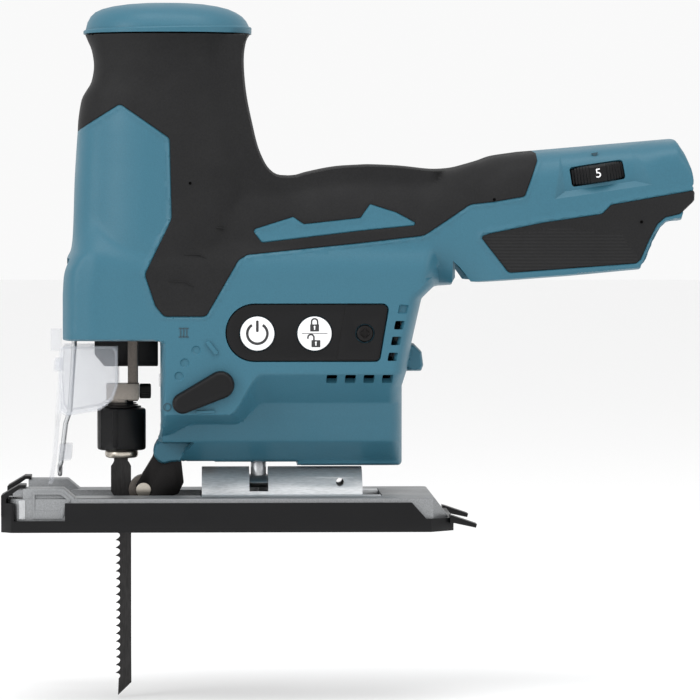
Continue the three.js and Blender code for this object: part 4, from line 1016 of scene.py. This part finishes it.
# ---- Marks on the housing ----
# Shallow marks on the shell show the lever's settings: three strokes and a ring at the ends
# of its travel, two stop bars, and a pointer over the speed dial. The strokes, the ring and the pointer are
# thin plates of a darker teal, painted shade in place of the shadow in engraved lines; the stop bars are the
# shell's nylon.
def on_skin(name, outer, lift, depth, paint, holes=(), soft=0.04):
    middle_point = np.array([np.mean(np.array(outer), axis=0)])
    y = -float(skin_width(middle_point, -1, np.array([9.0]))[0]) - 0.12
    return painted(plate(name, outer, y - lift, y + depth, holes, soft), paint)


# A darker teal for the strokes, the ring and the dial pointer: painted shade for the shadow in engraved
# lines.
engraving_painted_shade = grain(material("painted_engraving_shade", (0.015, 0.05, 0.07), 0.6), 1800, 0.00004, 0.5, 0.7)
marks = []
for i in range(3):
    stroke = bar(-18.2 + i * 1.15, -17.7 + i * 1.15, 74.2, 77.5, 0.1)
    marks.append(on_skin(f"three_{i}", stroke, 0.06, 0.3, engraving_painted_shade))
for z in (74.0, 77.3):
    marks.append(on_skin(f"three_bar_{z:.0f}", bar(-18.7, -14.9, z, z + 0.45, 0.1), 0.06, 0.3, engraving_painted_shade))
marks.append(on_skin("zero", arc(-23.1, 47.5, 1.6, 0, 360, 28)[:-1], 0.06, 0.3, engraving_painted_shade,
                     [arc(-23.1, 47.5, 1.2, 0, 360, 28)[:-1]]))
upper_stop = filleted([(-8.6, 72, 0.6), (-7.2, 73, 0.6), (-3.4, 68, 0.6), (-5, 67.2, 0.6)])
marks.append(on_skin("upper_stop", upper_stop, 0.9, 0.4, teal, soft=0.3))
lower_stop = filleted([(-12.2, 45, 0.4), (-5, 45.3, 0.4), (-5, 46.4, 0.4), (-12, 46.2, 0.4)])
marks.append(on_skin("lower_stop", lower_stop, 0.9, 0.4, teal, soft=0.3))
setting_marks = joined("setting_marks", marks)
crisp(setting_marks)
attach(setting_marks, "housing")


# ---- Grip details ----
# The rubber shows the pins that held it in its mould as small pits, drawn as thin near-black discs of painted
# shade, and three faint raised lines where the fingers close round the foot of the barrel.
# Near-black with no specular: painted shade for the hollow of each pit.
painted_pit_shade = grain(dull(material("painted_pit_shade", (0.002, 0.002, 0.002), 0.9), 0.0), 1500, 0.00003, 0.8, 0.95)
pits = [on_skin(f"pit_{i}", arc(px, pz, 0.55, 0, 360, 16)[:-1], 0.42, 0.1, painted_pit_shade, soft=0)
        for i, (px, pz) in enumerate([(-14.3, 132.7), (101.5, 126.5), (157.5, 118)])]
finger_lines = [[(-7.5, 116.2), (-4, 116), (-0.9, 115.7)],
                [(-16.8, 105.8), (-10.8, 105.7), (-7.4, 103.8)],
                [(-22.6, 95.8), (-16.2, 95.4), (-13.2, 93.6)]]
for i, line in enumerate(finger_lines):
    under = [(x, z - 0.42) for x, z in line[::-1]]
    pits.append(on_skin(f"finger_line_{i}", [*line, *under], 0.55, 0.2, rubber, soft=0.12))
grip_marks = joined("grip_marks", pits)
crisp(grip_marks)
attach(grip_marks, "housing")


# ---- Speed dial ----
# A ribbed thumbwheel of black plastic that stands out of a window in the left shell. Smooth lands between
# its runs of ribs carry the printed speed numbers, one to six.
dial_place = Vector((141, -21.9, 136.4))
dial_tilt = math.radians(8.5)
dial_axis = Vector((-math.sin(dial_tilt), 0, math.cos(dial_tilt)))
dial_radius = 14.5
ribs_round, land_share = 72, 0.42


def rib(turn, ring):
    if ring not in (2, 3, 4, 5):
        return 1
    along = ((turn - math.pi / 6) / (math.pi / 3) + 0.5) % 1
    if abs(along - 0.5) < land_share / 2:
        return 1.0
    return 1 - 0.028 * (0.5 + 0.5 * math.cos(turn * ribs_round)) ** 0.6


wheel_profile = [(0, -3.5), (13.2, -3.5), (14.1, -3.1), (14.5, -2.5), (14.5, 2.5), (14.1, 3.1),
                 (13.2, 3.5), (0, 3.5)]
dial = painted(turned("speed_wheel", wheel_profile, dial_place, dial_axis, 432, rib), black)
dial_spin = Vector((0, 0, 1)).rotation_difference(dial_axis).to_matrix()
digit_pieces = []
for number in range(1, 7):
    text = bpy.data.curves.new(f"number_{number}", "FONT")
    text.body = str(number)
    text.size = 4.9
    text.align_x = text.align_y = "CENTER"
    text.extrude = 0.06
    text.resolution_u = 4
    text_obj = bpy.data.objects.new(f"number_{number}", text)
    bpy.context.collection.objects.link(text_obj)
    bpy.context.view_layer.update()
    depsgraph = bpy.context.evaluated_depsgraph_get()
    digit_mesh = bpy.data.meshes.new_from_object(text_obj.evaluated_get(depsgraph))
    bpy.data.objects.remove(text_obj)
    facing = -math.pi / 2 + (number - 5) * math.pi / 3
    out_way = dial_spin @ Vector((math.cos(facing), math.sin(facing), 0))
    across = dial_spin @ Vector((-math.sin(facing), math.cos(facing), 0))
    for v in digit_mesh.vertices:
        bend = v.co.x / dial_radius
        radius = dial_radius + 0.02 + v.co.z
        spot = out_way * math.cos(bend) + across * math.sin(bend)
        v.co = (dial_place + spot * radius + dial_axis * v.co.y) * MM
    digit = bpy.data.objects.new(f"digit_{number}", digit_mesh)
    bpy.context.collection.objects.link(digit)
    digit_pieces.append(painted(digit, white_print))
wheel = joined("speed_wheel_set", [dial, *digit_pieces])
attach(wheel, "speed_dial")
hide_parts("speed_dial")
# The pointer takes the same darker teal, painted shade.
pointer = on_skin("dial_pointer", [(138.7, 144.2), (141.3, 144.6), (140.2, 142.4)], 0.75, 0.2, engraving_painted_shade)
finish_piece(pointer, "housing", engraving_painted_shade, "teal_nylon")


# ---- Blade ----
# A T-shank wood blade stamped from black-finished spring steel, with milled teeth set left and right
# in turn, their points ground bright.
blade_low, blade_high = (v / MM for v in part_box("blade"))
blade_tip = blade_low.z
pitch, first_tooth = 3.04, 0.4
count = int((first_tooth - (blade_tip + 3)) / pitch)
teeth = []
for i in range(count):
    z = first_tooth - i * pitch
    teeth += [(-43.5, z + 0.08), (-42.55, z - 0.1), (-41.95, z - 0.5), (-41.75, z - 1.05), (-41.9, z - 1.6),
              (-42.35, z - 2.15)]
blade_line = [(-38.6, 48.3), (-44, 48.3), (-44, 25.2), (-44.4, 24.3), (-45.2, 23.2), (-45.2, 13.5),
              (-44.6, 12.4), (-43.6, 11.2), (-43.6, 3.4), *teeth, (-42.6, blade_tip), (-37.4, -60.9),
              (-37.4, 23.2), (-38, 24.4), (-38.6, 25.2)]
saw = plate("saw_blade", blade_line, blade_low.y, blade_high.y, (), 0)
for v in saw.data.vertices:
    x, z = v.co.x / MM, v.co.z / MM
    if x < -42.4 and z < 1 and z > -63:
        tooth = round((first_tooth + 0.1 - z) / pitch)
        v.co.y += (0.28 if tooth % 2 else -0.28) * MM * min(1, (-42.4 - x) / 0.9)
    if z > 26 and z < 47:
        v.co.y *= 0.98
crisp(saw)
blade_steel = grain(material("blade_steel", (0.018, 0.017, 0.017), 0.32, 0.6),
                    2500, 0.000006, 0.25, 0.42, tint=0.3, stretch=(1, 1, 0.12))
finish_piece(saw, "plunger", blade_steel, "black_steel", "blade")


# ---- Plunger end and blade clamp ----
# The flat plunger comes down through the head and carries a sintered block with a black knurled screw.
# Under it a sprung black sleeve turns to let the blade go, over a nickel-plated ring.
broken_edges("plunger_bar", "plunger_rod", 0.35, "plunger", brown_steel, "bright_steel")
broken_edges("clamp_body", "clamp_block", 0.3, "plunger", sintered, "bright_steel")
knurled = turned("knurled_screw", [(0, -2.2), (2.4, -2.2), (2.9, -1.9), (2.9, 1.9), (2.5, 2.25), (1.5, 2.3),
                                   (1.3, 1.2), (0, 1.1)], (-31.9, 0, 52.3), (1, 0, 0), 96,
                 lambda turn, ring: 1 - (0.05 * (0.5 + 0.5 * math.cos(turn * 24)) if ring in (2, 3) else 0))
finish_piece(knurled, "plunger", black_steel, "black_steel", "clamp_screw")
blade_axis = (-41.05, 0, 0)
washer_sizes = [(7.6, 46.1, 0.5), (6.4, 46.9, 0.35), (4.6, 47.2, 2.1), (5.8, 47.6, 0.3)]
washers = []
for i, (r, z, thick) in enumerate(washer_sizes):
    section = [(3.2, z), (r, z), (r, z + thick), (3.2, z + thick)]
    washers.append(painted(turned(f"washer_{i}", section, blade_axis), black_steel))
spring_stack = joined("spring_washers", washers)
crisp(spring_stack)
finish_piece(spring_stack, "plunger", black_steel, "black_steel")


flat_ways = (math.radians(238), math.radians(58))
flat_reach = 0.42


def sleeve_wave(turn, ring):
    """The two flats where fingers take hold of the sleeve."""
    if ring not in (3, 4, 5, 6):
        return 1
    off = min(abs((turn - way + math.pi) % (2 * math.pi) - math.pi) for way in flat_ways)
    flat = 1 - min(1, max(0, off - flat_reach) / 0.05)
    return 1 - flat * (1 - 0.93 / math.cos(min(off, flat_reach)))


sleeve_profile = [(5.6, 29.5), (8.4, 29.5), (9.1, 29.8), (9.4, 30.4), (9.42, 33.2), (9.42, 42.5),
                  (9.4, 44.9), (9.1, 45.5), (8.4, 45.8), (6.2, 45.8), (5.6, 44.8)]
sleeve = turned("clamp_collar", sleeve_profile, blade_axis, (0, 0, 1), 144, sleeve_wave)
tab_line = filleted([(-44.8, 35.8, 0.3), (-42.6, 36.4, 0.3), (-42.6, 37.8, 0.3), (-44.8, 37.2, 0.3)])
rib_line = filleted([(-44.4, 31, 0.2), (-42.4, 31, 0.2), (-42.4, 45, 0.2), (-44.4, 45, 0.2)])
sleeve_tabs = [plate("collar_tab", tab_line, -9.1, -7.6, (), 0.15),
               plate("collar_rib", rib_line, -9.55, -7.8, (), 0.3)]
collar = joined("clamp_collar_set", [sleeve, *sleeve_tabs])
crisp(collar)
finish_piece(collar, "sleeve", black, "black_plastic", "clamp_sleeve")
foot_profile = [(2.9, 26.5), (5.4, 26.45), (6.1, 26.8), (6.45, 27.5), (6.45, 28.7), (6.2, 29.2), (2.9, 29.2)]
ring_piece = turned("clamp_foot", foot_profile, blade_axis, segments=64)
finish_piece(ring_piece, "plunger", nickel, "bright_steel", "clamp_ring")


# ---- Blade roller and its holder ----
# A grooved steel roller steadies the blade's back. It runs on a headed pin in a forked pressed holder
# that swings from the nose of the housing, with its curved edges rounded by tumbling.
broken_edges("guide_wheel", "guide_roller", 0.25, "roller", brown_steel, "bright_steel")
broken_edges("swing_holder", "roller_holder", 0.35, "roller_arm", black_steel, "black_steel")
broken_edges("wheel_pin", "roller_pin", 0.3, "roller_arm", nickel, "bright_steel")
broken_edges("nose_pin", "arm_pivot_pin", 0.25, "housing", zinc, "bright_steel")


# ---- Base ----
# The base is die cast in aluminium with raised blocks in front for the chip cover's foot, and it sits in
# a black moulded shoe with hooked front corners and two tongues behind. A polished steel arch tilts on it.
broken_edges("cast_base", "base_plate", 0.5, "base", cast, "cast_aluminium")
side_shape = [(-74.3, 15.4, 0.4), (-63, 15.4, 0.6), (-59.6, 12.6, 0.6), (-62.9, 5, 0.3), (-74.3, 5, 0.3)]
side_inner = [(-73.4, 14.4, 0.4), (-63.6, 14.4, 0.6), (-61, 12.3, 0.6), (-63.8, 8.2, 0.3), (-73.4, 8.2, 0.3)]
for side in (-1, 1):
    face = side * (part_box("base_plate")[1].y / MM + 0.35)
    frame_rim = plate(f"block_rim_{side}", filleted(side_shape), face, face - side * 1,
                      [filleted(side_inner)], 0.2)
    finish_piece(frame_rim, "base", cast, "cast_aluminium")
    stud = plate(f"block_stud_{side}", filleted([(-79.6, 12.4, 0.8), (-77, 12.4, 0.3), (-77, 4.8, 0.3),
                                                 (-79.6, 4.8, 0.5)]), face, face - side * 3, (), 0.4)
    finish_piece(stud, "base", zinc, "cast_aluminium")
broken_edges("base_shoe", "cover_plate", 0.55, "base", black, "black_plastic")
broken_edges("tilt_arch", "bevel_arch", 0.3, "base", drawn, "bright_steel")
broken_edges("clamp_saddle", "clamp_plate", 0.25, "housing", zinc, "bright_steel")
broken_edges("tilt_bolt", "clamp_bolt", 0.25, "housing", zinc, "bright_steel")


# ---- Chip cover and guards ----
# A clear polycarbonate chip cover slides up and down on a bent wire guard in front of the blade. The wire
# hangs in a black block under the head, and a black skirt stands inside the cavity.
clear = bpy.data.materials.new("clear_polycarbonate")
clear.use_nodes = True
clear_shader = clear.node_tree.nodes["Principled BSDF"]
clear_shader.inputs["Base Color"].default_value = (0.62, 0.64, 0.69, 1)
clear_shader.inputs["Alpha"].default_value = 0.2
clear_shader.inputs["IOR"].default_value = 1.49
grain(clear, 260, 0.00001, 0.05, 0.12, tint=0.03, detail=2)
cover = refined("chip_shield", "chip_cover", 0.5)
finish_piece(cover, "chip_cover", clear, "clear_plastic", "chip_cover")
clips = []
for side in (-1, 1):
    for i, line in enumerate([[(-67.2, 60), (-63.7, 60.3), (-63.7, 65.2), (-66.8, 65.2)],
                              [(-65.6, 25.4), (-60.4, 25.8), (-60, 32), (-65, 32)]]):
        shape = filleted([(x, z, 0.6) for x, z in line])
        clips.append(painted(plate(f"clip_{side}_{i}", shape, side * 6.6, side * 5.2, (), 0.3), clear))
wing_line = filleted([(-64.1, 46, 0.8), (-62, 43.8, 1), (-49, 45.9, 6), (-44.2, 49.9, 5), (-42.4, 55.6, 4),
                      (-42.4, 70, 2.2), (-64, 70, 1), (-64.8, 58.2, 2)])
wing_middle = np.mean(np.array(wing_line), axis=0)
wing_inner = [tuple(wing_middle + (np.array(q) - wing_middle) * 0.93) for q in wing_line]
for side in (-1, 1):
    bead = plate(f"wing_bead_{side}", wing_line, side * 18.25, side * 16.3, [wing_inner], 0.25)
    clips.append(painted(bead, clear))
clip_set = joined("shield_clips", clips)
crisp(clip_set)
finish_piece(clip_set, "chip_cover", clear, "clear_plastic")
wire_side = filleted([(-59.3, 78, 0), (-59.3, 70.5, 4), (-61, 44.5, 3), (-62.6, 40, 3), (-64.5, 24.5, 0)],
                     closed=False)
wire_points = [(x, -4.4, z) for x, z in wire_side]
loop_turns = np.linspace(0.25, math.pi - 0.25, 11)
wire_points += [(-64.9, -4.4 * math.cos(t), 24.5 - 4.4 * math.sin(t)) for t in loop_turns]
wire_points += [(x, 4.4, z) for x, z in wire_side[::-1]]
wire_curve = bpy.data.curves.new("guard_wire", "CURVE")
wire_curve.dimensions = "3D"
wire_curve.bevel_depth = 0.9 * MM
wire_curve.bevel_resolution = 4
wire_curve.resolution_u = 8
strand = wire_curve.splines.new("POLY")
strand.points.add(len(wire_points) - 1)
for point, (x, y, z) in zip(strand.points, wire_points):
    point.co = (x * MM, y * MM, z * MM, 1)
wire_source = bpy.data.objects.new("guard_wire_curve", wire_curve)
bpy.context.collection.objects.link(wire_source)
bpy.context.view_layer.update()
depsgraph = bpy.context.evaluated_depsgraph_get()
wire_mesh = bpy.data.meshes.new_from_object(wire_source.evaluated_get(depsgraph))
bpy.data.objects.remove(wire_source)
wire = bpy.data.objects.new("guard_wire", wire_mesh)
bpy.context.collection.objects.link(wire)
wire_mesh.shade_smooth()
finish_piece(wire, "housing", zinc, "bright_steel", "wire_guard")
broken_edges("wire_block", "guard_bracket", 0.5, "housing", black, "black_plastic")
broken_edges("cavity_skirt", "inner_guard", 0.5, "housing", black, "black_plastic")


# ---- Battery terminals and lamp ----
# Under the tail, a black terminal block waits for the battery pack.
# A clear window in the front of the body lets the lamp light the cut.
broken_edges("terminals", "terminal_block", 0.4, "housing", black, "black_plastic")
broken_edges("lamp_window", "lamp_lens", 0.4, "housing", clear, "clear_plastic")


# ---- Works inside ----
# The motor, gears, crank, balance weight and plunger guide are the frame's own shapes. Each has the
# finish of its trade: laminated and wound, ground, sintered, cast or moulded.
inside_finish = {
    "motor_stator": copper, "rotor": drawn, "fan": black, "pinion": drawn, "front_bearing": nickel,
    "rear_bearing": nickel, "gear_bearing": nickel, "gear_case": cast, "crank_gear": sintered,
    "crank_pin": drawn, "counterweight": sintered, "plunger_guide": brown_steel,
    "guide_bracket_left": cast, "guide_bracket_right": cast, "controller_module": circuit,
}
for node_name, paint in inside_finish.items():
    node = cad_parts[node_name]
    if not node.data.materials:
        node.data.materials.append(paint)
    for slot_index in range(len(node.material_slots)):
        node.material_slots[slot_index].material = paint


low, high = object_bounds()
